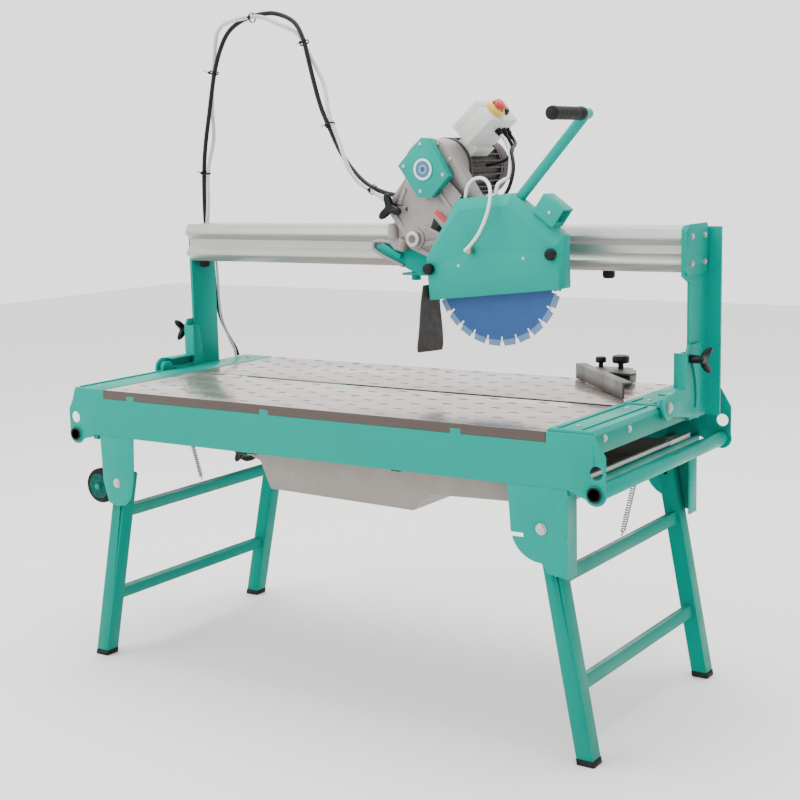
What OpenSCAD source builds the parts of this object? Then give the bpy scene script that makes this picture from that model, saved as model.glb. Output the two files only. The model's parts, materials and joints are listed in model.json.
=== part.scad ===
// Bridge tile saw: folding bench frame, tilting rail bridge and a plunging saw head.
// Millimetres, +X along the rail, -Y is the operator's side, +Z up.
// The origin is on the floor under the middle of the bench.

/* [Bench] */
// Depth of the bench over its side panels
bench_depth = 700; // [690:1:720]
// Height of the table surface above the floor
table_z = 735; // [730:1:740]
// Thickness of the side panel sheet
sheet = 4; // [3:0.5:5]
// Half the distance between the two carrying tubes
tube_x = 760; // [755:1:765]
// Outer radius of the carrying tubes
tube_r = 17.5; // [15:0.5:20]

/* [Legs] */
// Side of the square leg tube
leg_side = 40; // [36:1:42]
// Wall of the leg tube
leg_wall = 3; // [2:0.5:4]
// Distance of the feet from the middle, along X
foot_x = 729; // [715:1:740]
// Radius of the transport wheels
wheel_r = 47; // [42:1:56]

/* [Bridge] */
// Length of the aluminium guide rail
rail_length = 1516; // [1510:1:1516]
// Radius of the slot that the tilt clamp stud runs in
tilt_r = 152; // [150:1:154]

/* [Saw head] */
// Radius of the saw blade
blade_r = 175; // [150:1:176]
// Number of diamond segments round the blade
segments = 25; // [18:1:30]
// Radius of the motor body over its fins
motor_r = 76; // [70:1:76]
// Number of cooling fins
fins = 28; // [20:1:32]

/* [Hidden] */
$fn = 48;

green = "mediumaquamarine";
dark = "#202022";
casting = "#b0a8a8";
half_y = bench_depth / 2;          // outer face of the side panels
inner_y = half_y - sheet;          // inner face of the side panels
panel_bottom = table_z - 123;
lip_z = table_z - 24;              // top of the panel under the table's folded edge
table_x0 = -655;
table_x1 = 643;
tube_z = table_z - 125;
ear_x = tube_x + 24;
deck_x = tube_x - 3;               // outer face of the end beams
deck_top = table_z + 7;
slot_front = -8;
slot_rear = 16;

left_pivot = [-622, 490];          // x and z of the leg hinges
right_pivot = [632, 521];
leg_y = half_y - 32;               // middle of each leg tube
bar_d = [20, 30];                  // section of the leg cross bars
upper_bar_z = 405;
lower_bar_z = 170;
foot_cap = 14;
bolt_r = 6;
wheel_axle = [-727, 464];
wheel_y = half_y - 48;
wheel_w = 28;
axle_r = 8;

tilt_z = table_z + 5;              // height of the bridge's tilt axis
stud_angle = 39.5;                 // where the clamp studs sit, above +Y round the tilt axis
stud_y = tilt_r * cos(stud_angle);
stud_z = tilt_z + tilt_r * sin(stud_angle);
right_knob_h = 50;                 // heights of the two tilt clamp knobs
left_knob_h = 36;
clip_z = 1066;                     // underside of the cable clip on the left post
slot_r = 6.8;                      // half the width of the tilt slots
slot_from = stud_angle - 46;
slot_to = stud_angle + 1;
web_x0 = 758;                      // inner face of the post web
web_x1 = 766;
post_y0 = 130;
post_y1 = 230;
rail_z0 = 1034;
rail_z1 = 1138;

pivot = [86, 1112];                // x and z of the head's plunge pivot
arbor = [330, 1032];
motor = [128, 1282];
lock = [22, 1188];
pulley_r = 36;
fit = 0.05;                        // radial clearance of a running fit
guard_screws = [[158, 1042], [493, 1083]];
water_at = [277, 1090];            // x and z of the water fitting on the guard
box_at = [226, 1390];
box_tilt = 40.5;
fence_at = [498, 326];             // x and y of the pin that the fence bar turns on
lock_at = [438, 335];

// ---- helpers --------------------------------------------------------------

// Extrudes an outline drawn in X and Z from y0 to y1.
module xz(y0, y1) {
    translate([0, y1, 0]) rotate([90, 0, 0]) linear_extrude(y1 - y0) children();
}

// Extrudes an outline drawn in Y and Z from x0 to x1.
module yz(x0, x1) {
    translate([x0, 0, 0]) rotate([90, 0, 90]) linear_extrude(x1 - x0) children();
}

// A cylinder along Y, at x and z, from y0 to y1.
module rod_y(at, y0, y1, r) {
    translate([at[0], y0, at[1]]) rotate([-90, 0, 0]) cylinder(h = y1 - y0, r = r);
}

// A cylinder along X, at y and z, from x0 to x1.
module rod_x(at, x0, x1, r) {
    translate([x0, at[0], at[1]]) rotate([0, 90, 0]) cylinder(h = x1 - x0, r = r);
}

module box(a, b) { translate(a) cube(b - a); }

module both_sides() {
    children();
    mirror([0, 1, 0]) children();
}

module both_ends() {
    children();
    mirror([1, 0, 0]) children();
}

// The flat outline of a belt round two circles: both circles and their tangent lines, which
// lie a hair inside so that they cross the circles cleanly.
module link2d(a, outer_a, b, outer_b) {
    ra = outer_a - 0.02;
    rb = outer_b - 0.02;
    d = b - a;
    l = norm(d);
    u = d / l;
    n = [-u[1], u[0]];
    s = (ra - rb) / l;
    c = sqrt(1 - s * s);
    translate(a) circle(outer_a);
    translate(b) circle(outer_b);
    polygon([a + ra * (s * u + c * n), b + rb * (s * u + c * n),
             b + rb * (s * u - c * n), a + ra * (s * u - c * n)]);
}

// A slot bent round the tilt axis, between two angles above +Y.
module arc_slot(r, half_width, from, to) translate([0, tilt_z]) {
    far = 2 * r;
    intersection() {
        difference() {
            circle(r + half_width);
            circle(r - half_width);
        }
        polygon([[0, 0], far * [cos(from), sin(from)], far * [cos(to), sin(to)]]);
    }
    for (a = [from, to]) translate(r * [cos(a), sin(a)]) circle(half_width - 0.03);
}

// A round tube swept along a route of points.
function unit(v) = v / norm(v);
function heading(p, i) = unit(p[min(i + 1, len(p) - 1)] - p[max(i - 1, 0)]);
function side_of(t) = unit(cross(t, abs(t[1]) > 0.9 ? [1, 0, 0] : [0, 1, 0]));
module sweep(route, r, sides) {
    rings = len(route);
    points = [for (i = [0:rings - 1]) let (t = heading(route, i), a = side_of(t), b = cross(t, a))
        for (k = [0:sides - 1]) route[i] + r * (a * cos(360 * k / sides) + b * sin(360 * k / sides))];
    walls = [for (i = [0:rings - 2]) for (k = [0:sides - 1]) let (m = (k + 1) % sides)
        [i * sides + k, i * sides + m, (i + 1) * sides + m, (i + 1) * sides + k]];
    polyhedron(points, concat(walls, [[for (k = [sides - 1:-1:0]) k]],
        [[for (k = [0:sides - 1]) (rings - 1) * sides + k]]), convexity = 10);
}

// A three-lobed clamping knob on the Z axis, its hub's foot at the origin.
module lobed_knob(hub_r, height, reach, bore_r) {
    difference() {
        union() {
            cylinder(h = height, r = hub_r);
            for (a = [0, 120, 240])
                rotate([0, 0, a]) translate([0, 0, height * 0.62]) linear_extrude(height * 0.38)
                    link2d([0, 0], hub_r * 0.85, [reach, 0], hub_r * 0.6);
        }
        translate([0, 0, -1]) cylinder(h = height * 0.8, r = bore_r);
    }
}

// ---- bench ----------------------------------------------------------------

module side_panels() color(green) both_sides() difference() {
    union() {
        xz(-half_y, -inner_y) polygon([
            [-deck_x, table_z], [table_x0, table_z], [table_x0, lip_z], [table_x1 + 2, lip_z],
            [table_x1 + 2, table_z], [deck_x, table_z], [ear_x, table_z - 45], [ear_x, tube_z + 2],
            [tube_x - 5, tube_z - 20], [701, panel_bottom - 2], [697, panel_bottom],
            [-697, panel_bottom], [-701, panel_bottom - 2], [-tube_x + 5, tube_z - 20],
            [-ear_x, tube_z + 2], [-ear_x, table_z - 60], [-ear_x + 14, table_z - 35]]);
        both_ends() rod_y([tube_x, tube_z], -half_y, -inner_y, 26);
        box([-550, -inner_y, panel_bottom], [545, -inner_y + 20, panel_bottom + 3]);
    }
    both_ends() rod_y([tube_x, tube_z], -half_y - 1, -inner_y + 1, tube_r);
    both_ends() rod_y([tube_x + 2, tube_z + 45], -half_y - 1, -inner_y + 1, 15);
}

module cross_beams() color(green) {
    both_ends() {
        box([deck_x - 4, -inner_y, table_z - 45], [deck_x, inner_y, table_z - 4]);
        box([deck_x - 22, -inner_y, table_z - 45], [deck_x - 4, inner_y, table_z - 42]);
        box([687, -inner_y, tube_z - 10], [703, inner_y, tube_z + 6]);
    }
    for (x = [-480, -160, 160, 480]) {
        box([x, -inner_y, table_z - 39], [x + 30, inner_y, table_z - 10]);
        both_sides() box([x, 60, table_z - 10], [x + 30, inner_y, table_z - 4]);
    }
}

module carry_tubes() color(green) both_ends() difference() {
    rod_y([tube_x, tube_z], -half_y - 4, half_y + 4, tube_r);
    rod_y([tube_x, tube_z], -half_y - 5, half_y + 5, tube_r - 3);
}

module table_top() color("silver") difference() {
    union() {
        box([table_x0, -half_y, table_z - 4], [table_x1, half_y, table_z]);
        both_sides() box([table_x0, -half_y, lip_z], [table_x1, -half_y + 3, table_z - 4]);
    }
    box([-600, slot_front, table_z - 6], [table_x1 + 1, slot_rear, table_z + 1]);
}

module end_decks() color(green) {
    box([-deck_x, -inner_y, table_z - 4], [table_x0, inner_y, table_z]);
    for (y = [[-inner_y, slot_front], [slot_rear, inner_y]])
        xz(y[0], y[1]) polygon([[table_x1 + 2, table_z - 4], [table_x1 + 2, table_z + 3],
            [table_x1 + 8, deck_top], [deck_x - 7, deck_top], [deck_x, table_z],
            [deck_x, table_z - 4]]);
}

module leg_brackets() color(green) both_sides() {
    difference() {
        union() {
            xz(-half_y, -inner_y) polygon([[-675, panel_bottom], [-558, panel_bottom],
                [-564, 505], [-577, 452], [-600, 432], [-630, 428], [-656, 436], [-672, 494]]);
            box([-675, -inner_y, 500], [-671, -inner_y + 24, tube_z - 2]);
        }
        rod_y(left_pivot, -half_y - 1, -inner_y + 1, bolt_r);
    }
    difference() {
        union() {
            rod_y(right_pivot, -half_y, -inner_y, 76);
            xz(-half_y, -inner_y) polygon([[550, panel_bottom], [695, panel_bottom], [695, 417],
                [648, 424], [632, 445], right_pivot, [556, 521]]);
            box([691, -inner_y, 417], [695, -inner_y + 40, tube_z - 10]);
        }
        box([550, -half_y - 1, 497], [588, -inner_y + 1, 507]);
        box([550, -half_y - 1, panel_bottom], [700, -inner_y + 1, 640]);
        box([695, -half_y - 1, 400], [720, -inner_y + 1, 640]);
        rod_y(right_pivot, -half_y - 1, -inner_y + 1, bolt_r);
    }
}

// Hangers and stub axles of the two transport wheels, on the inner side of each wheel.
module wheel_mounts() color(green) both_sides() {
    box([-740, -wheel_y + 17, 440], [-703, -wheel_y + 23, tube_z - 2]);
    rod_y(wheel_axle, -wheel_y - 20, -wheel_y + 17, axle_r);
}

module frame_bolts() color("silver") {
    both_sides() for (p = [left_pivot, right_pivot]) {
        rod_y(p, -half_y - 7, -half_y, 10);
        rod_y(p, -half_y, -leg_y + leg_side / 2 + 8, bolt_r);
        rod_y(p, -leg_y + leg_side / 2 + 2, -leg_y + leg_side / 2 + 8, 10);
    }
    both_ends() {
        for (y = [-300, -180, 290]) rod_x([y, table_z - 14], deck_x, deck_x + 6, 8);
        rod_x([0, tilt_z], web_x1 + 6.5, web_x1 + 14, 16);
    }
}

tray_wide = half_y - 65;
tray_rim = tube_z - 4;

module tray_outline() polygon([[-225, tray_rim], [-225, tray_rim - 14], [-190, tray_rim - 26],
    [-160, tray_rim - 94], [262, tray_rim - 101], [305, tray_rim - 58], [650, tray_rim - 46],
    [680, tray_rim]]);

module drip_tray() color("#b4aaa5") difference() {
    union() {
        xz(-tray_wide + 4, tray_wide - 4) tray_outline();
        box([-235, -tray_wide + 4, tray_rim - 4], [683, tray_wide - 4, tray_rim]);
    }
    xz(-tray_wide, tray_wide) polygon([[-221, tray_rim + 1], [-221, tray_rim - 12],
        [-187, tray_rim - 23], [-157, tray_rim - 90], [260, tray_rim - 97], [303, tray_rim - 54],
        [648, tray_rim - 42], [675, tray_rim + 1]]);
}

module tray_walls() color("#b4aaa5") both_sides() {
    xz(-tray_wide, -tray_wide + 4) tray_outline();
    box([-235, -tray_wide - 7, tray_rim - 4], [683, -tray_wide, tray_rim]);
    box([-235, -tray_wide, tray_rim - 4], [-225, -tray_wide + 4, tray_rim]);
    for (x = [-180, 240, 620])
        box([x, -inner_y, tray_rim], [x + 24, -tray_wide + 3, tray_rim + 3]);
}

module water_pump() color(dark) {
    translate([40, 160, tube_z - 96.5]) {
        cylinder(h = 62, r = 42);
        translate([0, 0, 62]) cylinder(h = 14, r = 30);
        translate([0, 30, 62]) cylinder(h = 24, r = 9);
    }
}

// Fixed plates inside the posts, each with a tilt clamp's stud and the pin of the tilt axis.
module tilt_quadrant(base_z, stud_end) {
    yz(749, deck_x) union() {
        polygon([[111, base_z], [111, stud_z + 6], [116, stud_z + 14], [132, stud_z + 14],
            [138, stud_z + 4], [156, base_z]]);
        polygon([[-20, base_z], [-20, tilt_z + 8], [-12, tilt_z + 18], [12, tilt_z + 18],
            [24, base_z + 8], [111, base_z + 8], [111, base_z]]);
    }
    rod_x([stud_y, stud_z], deck_x, stud_end, 6);
    rod_x([0, tilt_z], deck_x, web_x1 - 0.5, 18);
    rod_x([0, tilt_z], web_x1 - 0.5, web_x1 + 6.5, 10);
}

module tilt_quadrants() color("silver") {
    tilt_quadrant(deck_top, web_x1 + 6.5 + right_knob_h * 0.75);
    mirror([1, 0, 0]) tilt_quadrant(table_z, web_x1 + 6.5 + left_knob_h * 0.75);
}

// A three-lobed knob that screws onto each tilt stud.
module tilt_knob(height) translate([web_x1 + 6.5, stud_y, stud_z]) rotate([0, 90, 0])
    lobed_knob(10, height, 32, 6 + fit);
module right_tilt_knob() color(dark) tilt_knob(right_knob_h);
module left_tilt_knob() color(dark) mirror([1, 0, 0]) tilt_knob(left_knob_h);

// ---- folding legs ----------------------------------------------------------

// Moves its children, drawn hanging from the hinge at the origin, to a pair of splayed legs.
function splay(p) = atan((foot_x - abs(p[0])) / p[1]);
function lean(p) = p[0] < 0 ? splay(p) : -splay(p);
module on_leg(p) { translate([p[0], 0, p[1]]) rotate([0, lean(p), 0]) children(); }

module leg_frame(p) {
    along = 1 / cos(splay(p));
    h = leg_side / 2;
    difference() {
        on_leg(p) {
            both_sides() difference() {
                box([-h, -leg_y - h, -p[1] * along - 30], [h, -leg_y + h, 26]);
                box([leg_wall - h, -leg_y - h + leg_wall, -p[1] * along - 40],
                    [h - leg_wall, -leg_y + h - leg_wall, 27]);
                rod_y([0, 0], -leg_y - h - 1, -leg_y + h + 1, bolt_r + fit);
            }
            for (z = [upper_bar_z, lower_bar_z])
                translate([0, 0, (z - p[1]) * along])
                    box([-bar_d[0] / 2, -leg_y + h, -bar_d[1] / 2], [bar_d[0] / 2, leg_y - h, bar_d[1] / 2]);
        }
        box([-900, -400, -50], [900, 400, foot_cap]);
    }
}

module leg_feet(p) {
    along = 1 / cos(splay(p));
    h = leg_side / 2 + 1;
    intersection() {
        on_leg(p) both_sides() box([-h, -leg_y - h, -p[1] * along - 30], [h, -leg_y + h, -300]);
        box([-900, -400, 0], [900, 400, foot_cap]);
    }
}

module left_leg_frame() color(green) leg_frame(left_pivot);
module right_leg_frame() color(green) leg_frame(right_pivot);
module left_feet() color(dark) leg_feet(left_pivot);
module right_feet() color(dark) leg_feet(right_pivot);

// A tension spring drawn as a sleeve between a tie bar and a leg's upper cross bar.
module leg_spring(p, top_x, y) {
    bar_x = (abs(p[0]) + (p[1] - upper_bar_z) * tan(splay(p))) * sign(p[0]);
    top = [top_x, y, tube_z - 10.5];
    low = [bar_x, y, upper_bar_z + bar_d[1] / 2 + 4.5];
    d = top - low;
    turn = atan2(d[0], d[2]);
    translate(low) rotate([0, turn, 0]) difference() {
        cylinder(h = norm(d) - 5, r = 7);
        translate([0, 0, -1]) cylinder(h = norm(d) + 2, r = 5);
    }
}

module left_leg_spring() color("silver") leg_spring(left_pivot, -693, 0);
module right_leg_spring() color("silver") leg_spring(right_pivot, 696, 0);

module transport_wheel() {
    w = wheel_w / 2;
    translate([wheel_axle[0], -wheel_y, wheel_axle[1]]) rotate([90, 0, 0]) rotate_extrude()
        polygon([[axle_r + fit, -w], [20, -w], [20, -5], [wheel_r - 18, -5], [wheel_r - 16, -w],
            [wheel_r - 4, -w], [wheel_r, -w + 5], [wheel_r, w - 5], [wheel_r - 4, w],
            [wheel_r - 16, w], [wheel_r - 18, 5], [20, 5], [20, w], [axle_r + fit, w]]);
}

module front_wheel() color(dark) transport_wheel();
module rear_wheel() color(dark) mirror([0, 1, 0]) transport_wheel();

// ---- bridge ----------------------------------------------------------------

module post_web(outline) difference() {
    union() {
        yz(web_x0, web_x1) polygon(outline);
        box([web_x1, post_y1 - 4, 690], [802, post_y1 + 2, 1136]);
    }
    yz(web_x0 - 1, web_x1 + 1) arc_slot(tilt_r, slot_r, slot_from, slot_to);
}

module posts() color(green) {
    post_web([[post_y0, 690], [post_y1, 690], [post_y1, 1134], [220, 1144], [104, 1144],
        [94, 1134], [94, 1028], [post_y0, 1012]]);
    mirror([1, 0, 0]) post_web([[post_y0, 690], [post_y1, 690], [post_y1, 1134],
        [post_y0, 1134]]);
    // Cable clip behind the left end of the rail.
    box([-812, post_y1 + 2, clip_z], [-758, 262, clip_z + 6]);
}

module tilt_feet() color(green) both_ends() difference() {
    union() {
        yz(web_x1, web_x1 + 6) polygon([[0, 768], [100, 768], [100, 850], [112, 868],
            [172, 868], [192, 846], [192, 705], [170, 690], [20, 716], [0, 712]]);
        rod_x([0, tilt_z], web_x1, web_x1 + 6, 29);
        box([739, 100, 764], [web_x1 + 6, 106, 850]);
        box([739, 12, 764], [web_x1 + 6, 100, 768]);
    }
    yz(web_x1 - 1, web_x1 + 7) arc_slot(tilt_r, slot_r, slot_from, slot_to);
    rod_x([0, tilt_z], web_x1 - 1, web_x1 + 7, 10 + fit);
}

module rail_end_plates() color(green) {
    yz(web_x1, web_x1 + 6) polygon([[104, 1028], [212, 1028], [224, 1040], [224, 1134],
        [212, 1146], [108, 1146], [92, 1130], [92, 1040]]);
    yz(-web_x1 - 6, -web_x1) polygon([[140, 1040], [212, 1040], [224, 1052], [224, 1122],
        [212, 1130], [140, 1130]]);
}

module guide_rail() color("gainsboro")
    yz(-rail_length / 2, rail_length / 2) difference() {
        polygon([[118, rail_z1], [108, 1117], [108, 1112], [126, 1096], [126, 1078], [108, 1060],
            [108, 1054], [132, rail_z0], [228, rail_z0], [236, 1042], [236, 1130], [228, rail_z1]]);
        polygon([[136, 1042], [176, 1042], [176, 1130], [136, 1130]]);
        polygon([[182, 1042], [224, 1042], [229, 1047], [229, 1125], [224, 1130], [182, 1130]]);
    }

module rail_bumpers() color(dark)
    for (x = [-735, 545]) translate([x, 160, rail_z0 - 20]) cylinder(h = 20, r = 15);

module bridge_bolts() color("silver") {
    for (p = [[122, 1056], [122, 1118], [196, 1056], [196, 1118]])
        rod_x(p, web_x1 + 6, web_x1 + 13, 8);
    for (p = [[154, 1056], [154, 1114], [196, 1064], [196, 1106]])
        rod_x(p, -web_x1 - 13, -web_x1 - 6, 8);
}

// ---- carriage --------------------------------------------------------------

roller_x = [35, 235];
roller_y = 95.7;
spindle_r = 6;

module carriage_frame() color(green) {
    xz(62, 68) polygon([[-74, 1096], [-66, 1106], [-6, 1098], [24, 1144], [262, 1144],
        [270, 1136], [270, 1020], [70, 1016], [-74, 1078]]);
    box([10, 68, 1016], [270, 268, 1022]);
    box([10, 68, 1139], [262, 112, 1144]);
    box([60, 262, 1022], [210, 268, 1120]);
    for (x = [75, 175]) box([x, 236.4, 1062], [x + 22, 262, 1108]);
    box([2, 86, 1144], [26, 114, 1160]);
    for (x = roller_x) translate([x, roller_y, 0]) {
        translate([0, 0, 1022]) cylinder(h = 117, r = spindle_r);
        translate([0, 0, 1022]) cylinder(h = 15.6, r = 11);
        translate([0, 0, 1134.4]) cylinder(h = 4.6, r = 11);
        translate([0, 0, 1002]) cylinder(h = 14, r = 12);
    }
}

module pivot_shaft() color("silver") {
    rod_y(pivot, 13, 62, 12);
    rod_y(pivot, 2, 13, 19);
}

// A spool with two grooves that ride the rail's front ribs.
module roller(x) translate([x, roller_y, 0]) rotate_extrude() polygon([[spindle_r + fit, 1038],
    [20, 1038], [20, 1046.5], [11.7, 1053.8], [11.7, 1060.2], [20, 1068.4], [20, 1104.6],
    [11.7, 1111.9], [11.7, 1117], [19.6, 1134], [spindle_r + fit, 1134]]);

module left_roller() color("silver") roller(roller_x[0]);
module right_roller() color("silver") roller(roller_x[1]);

// ---- saw head --------------------------------------------------------------

bearing_r = 22;
motor_y0 = 90;
motor_y1 = 268;

module drive_housing() color(casting) difference() {
    union() {
        xz(20, 56) union() {
            link2d(motor, 74, arbor, 46);
            link2d(pivot, 30, arbor, 42);
            link2d(pivot, 30, motor, 56);
            link2d(lock, 20, pivot, 26);
            link2d(lock, 20, motor, 40);
        }
        rod_y(pivot, 14, 20, 27);
        rod_y(arbor, 10, 20, 26);
    }
    xz(26, 50) link2d(motor, 66, arbor, pulley_r + 6);
    rod_y(motor, 19, 27, 50);
    rod_y(motor, 49, 57, 58);
    rod_y(arbor, 9, 24, bearing_r);
    rod_y(arbor, 23, 27, 15);
    rod_y(arbor, 46, 57, bearing_r);
    rod_y(pivot, 13, 57, 12 + fit);
    rod_y(lock, 10, 57, 5);
}

module motor_flange() color(casting) difference() {
    rod_y(motor, 56, motor_y0, 74);
    rod_y(motor, 55, motor_y0 + 1, 58);
}

hex = [[-6, 76], [16, 74], [71, -17], [20, -69], [-18, -67], [-74, 10]];
module hex_cover() color(green) difference() {
    union() {
        xz(-5, 20) translate(motor) polygon(hex);
        rod_y(motor, -8, -5, 27);
    }
    xz(-1, 21) translate(motor) polygon([for (p = hex) p * 0.94]);
}

module motor_body() color(dark) difference() {
    union() {
        xz(motor_y0 + 8, motor_y1 - 6) translate(motor) {
            circle(motor_r - 9);
            for (k = [0:fins - 1]) rotate(360 * k / fins) translate([0, -1.4]) square([motor_r, 2.8]);
        }
        rod_y(motor, motor_y0, motor_y0 + 8, motor_r - 2);
        rod_y(motor, motor_y1 - 6, motor_y1 + 24, motor_r - 3);
    }
    rod_y(motor, motor_y0 + 6, motor_y1 - 6, 52);
    rod_y(motor, motor_y0 - 1, motor_y1 + 2, 12 + fit);
    rod_y(motor, motor_y1 + 2, motor_y1 + 21, motor_r - 7);
    for (k = [0:11]) translate([motor[0], motor_y1 + 20, motor[1]]) rotate([0, 30 * k, 0])
        box([18, 0, -3], [58, 6, 3]);
}

// Moves its children, drawn round the switch box's own middle, to the tilted box.
module on_box() { translate([box_at[0], 0, box_at[1]]) rotate([0, -box_tilt, 0]) children(); }

module switch_box() color("gainsboro") difference() {
    on_box() difference() {
        union() {
            box([-45, 62, -31], [45, 195, 31]);
            box([-78, 100, -43], [-45, 182, 7]);
            rod_x([115, 0], 45, 53, 17);
            rod_x([160, 0], 45, 49, 12);
            for (y = [140, 164, 184]) translate([10, y, -44]) cylinder(h = 13, r = 7);
        }
        box([-41, 66, -27], [41, 191, 27]);
        rod_x([115, 0], 40, 54, 7 + fit);
        rod_x([160, 0], 40, 50, 7 + fit);
    }
    rod_y(motor, 80, 200, motor_r + 0.3);
}

module estop_button() color("firebrick") on_box() {
    rod_x([115, 0], 36, 61, 7);
    rod_x([115, 0], 61, 72, 19);
    rod_x([115, 0], 72, 75, 15);
}

module start_button() color("green") on_box() rod_x([160, 0], 38, 54, 7);

guard_back = [[226, 1210], [378, 1223], [513, 1126], [515, 1003], [153, 965], [141, 1070]];
guard_front = [[240, 1184], [374, 1195], [500, 1101], [510, 1002], [156, 966], [147, 1067]];
// The same outline drawn in by a sheet's thickness, and open along the bottom.
function inner_guard(p) = [for (i = [0:5])
    arbor + (p[i] - arbor) * 0.985 - (i == 3 || i == 4 ? [0, 14] : [0, 0])];

module at_socket() translate([480, 6, 1184]) rotate([0, 36, 0]) children();

module guard_socket() at_socket() difference() {
    box([-34, -24, -29], [30, 26, 22]);
    box([-20, -19, -16], [31, 21, 17]);
}

module guard_shell() color(green) {
    difference() {
        union() {
            xz(-8, 19.5) polygon(guard_back);
            guard_socket();
        }
        xz(-9, 17) polygon(inner_guard(guard_back));
        rod_y(arbor, 10, 20, 27);
    }
}

module guard_cover() color(green) difference() {
    hull() {
        xz(-9, -8) polygon(guard_back);
        xz(-30, -29) polygon(guard_front);
    }
    hull() {
        xz(-9, -7) polygon(inner_guard(guard_back));
        xz(-27.5, -26.5) polygon(inner_guard(guard_front));
    }
    for (p = guard_screws) rod_y(p, -32, -20, 4.5);
    rod_y(water_at, -32, -20, 5.5);
    at_socket() box([-34.1, -24.1, -29.1], [30.1, 26.1, 22.1]);
}

// A rubber flap that hangs behind the cut, with the strip that is riveted to the guard.
module splash_flap() color(dark) {
    yz(138, 144) polygon([[-36, 1002], [36, 1002], [50, 834], [-72, 840]]);
    xz(-8, 19) polygon([[144, 1000], [149, 1000], [153, 965], [144, 965]]);
}

grip_at = [562, 1400];
module handle_tube() color(green) {
    low = [388, 8, 1210];
    top = [grip_at[0], 8, grip_at[1]];
    d = top - low;
    difference() {
        translate(low) rotate([0, atan2(d[0], d[2]), 0]) cylinder(h = norm(d) - 4, r = 12.5);
        xz(-20, 40) polygon(guard_back);
    }
    rod_y(grip_at, -156, 20.5, 12.5);
}

module hand_grip() color(dark) difference() {
    rod_y(grip_at, -160, -8, 16);
    rod_y(grip_at, -156, -7, 12.5);
}

module drive_belt() color(dark) xz(31, 45) difference() {
    link2d(motor, pulley_r + 5, arbor, pulley_r + 5);
    link2d(motor, pulley_r + 0.3, arbor, pulley_r + 0.3);
}

module arbor_bearings() color("silver") for (y = [[12, 24], [46, 56]]) difference() {
    rod_y(arbor, y[0], y[1], bearing_r);
    rod_y(arbor, y[0] - 1, y[1] + 1, 12.5 + fit);
}

module water_fitting() color("silver") {
    rod_y(water_at, -48, -30, 8);
    rod_y(water_at, -30, -24, 5.5);
}

module plunge_knob() color(dark) translate([lock[0], 20, lock[1]]) rotate([90, 0, 0])
    lobed_knob(11, 30, 34, 1);

module guard_knob(p) {
    rod_y(p, -46, -30.3, 14);
    rod_y(p, -30.3, -20, 4);
}
module left_guard_knob() color(dark) guard_knob(guard_screws[0]);
module right_guard_knob() color(dark) guard_knob(guard_screws[1]);

module saw_blade() color("steelblue") difference() {
    union() {
        rod_y(arbor, -1.4, 1.4, blade_r - 12);
        translate([arbor[0], 0, arbor[1]]) for (k = [0:segments - 1]) rotate([0, 360 * (k + 0.5) / segments, 0])
            box([blade_r - 18, -1.8, -15], [blade_r - 2, 1.8, 15]);
    }
    rod_y(arbor, -3, 3, 12.5);
    translate([arbor[0], 0, arbor[1]]) for (k = [0:segments - 1])
        rotate([0, 360 * k / segments, 0]) box([blade_r - 24, -3, -2.5], [blade_r + 4, 3, 2.5]);
    difference() {
        rod_y(arbor, -3, 3, blade_r + 20);
        rod_y(arbor, -4, 4, blade_r);
    }
}

module blade_arbor() color("silver") {
    rod_y(arbor, -16, 54, 12.5);
    rod_y(arbor, -7, -1.4, 48);
    rod_y(arbor, 1.4, 7, 48);
    rod_y(arbor, -19, -7, 18);
}

module pulley(at, bore_r) difference() {
    rod_y(at, 30, 45.5, pulley_r);
    rod_y(at, 29, 47, bore_r);
}
module arbor_pulley() color("gray") pulley(arbor, 12.5);
module motor_pulley() color("gray") pulley(motor, 12);

module motor_rotor() color("gray") {
    rod_y(motor, 28, motor_y1 + 18, 12);
    rod_y(motor, 112, 240, 46);
    rod_y(motor, motor_y1 + 6, motor_y1 + 16, motor_r - 14);
}

// ---- mitre fence -----------------------------------------------------------

module fence_block() color("silver") difference() {
    box([fence_at[0] - 36, 306, table_z + 0.5], [fence_at[0] + 34, inner_y, table_z + 30]);
    translate([fence_at[0], fence_at[1], table_z]) cylinder(h = 40, r = 6 + fit);
}

// The bar lies at 45 degrees and turns, with its quadrant plate, about the block's pin.
module fence_bar() color("darkgray") {
    translate([366, 335, 0]) rotate([0, 0, -45]) difference() {
        box([0, 0, table_z + 0.6], [352, 25, table_z + 40]);
        box([4, 5, table_z - 1], [353, 26, table_z + 35]);
    }
    translate([0, 0, table_z + 30.4]) linear_extrude(4.6)
        polygon([[418, 318], [470, 262], [560, 252], [566, 270], [520, 350], [434, 350]]);
    translate([fence_at[0], fence_at[1], table_z + 4]) cylinder(h = 26.4, r = 6);
}

module fence_lock_knob() color(dark) translate([lock_at[0], lock_at[1], table_z + 35.3]) {
    cylinder(h = 14, r = 6);
    translate([0, 0, 14]) cylinder(h = 12, r = 14);
}

module fence_swivel_knob() color(dark)
    translate([fence_at[0], fence_at[1], table_z + 35.3]) {
        cylinder(h = 20, r = 8);
        translate([0, 0, 20]) cylinder(h = 14, r = 22);
    }

// ---- cables ----------------------------------------------------------------

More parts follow.
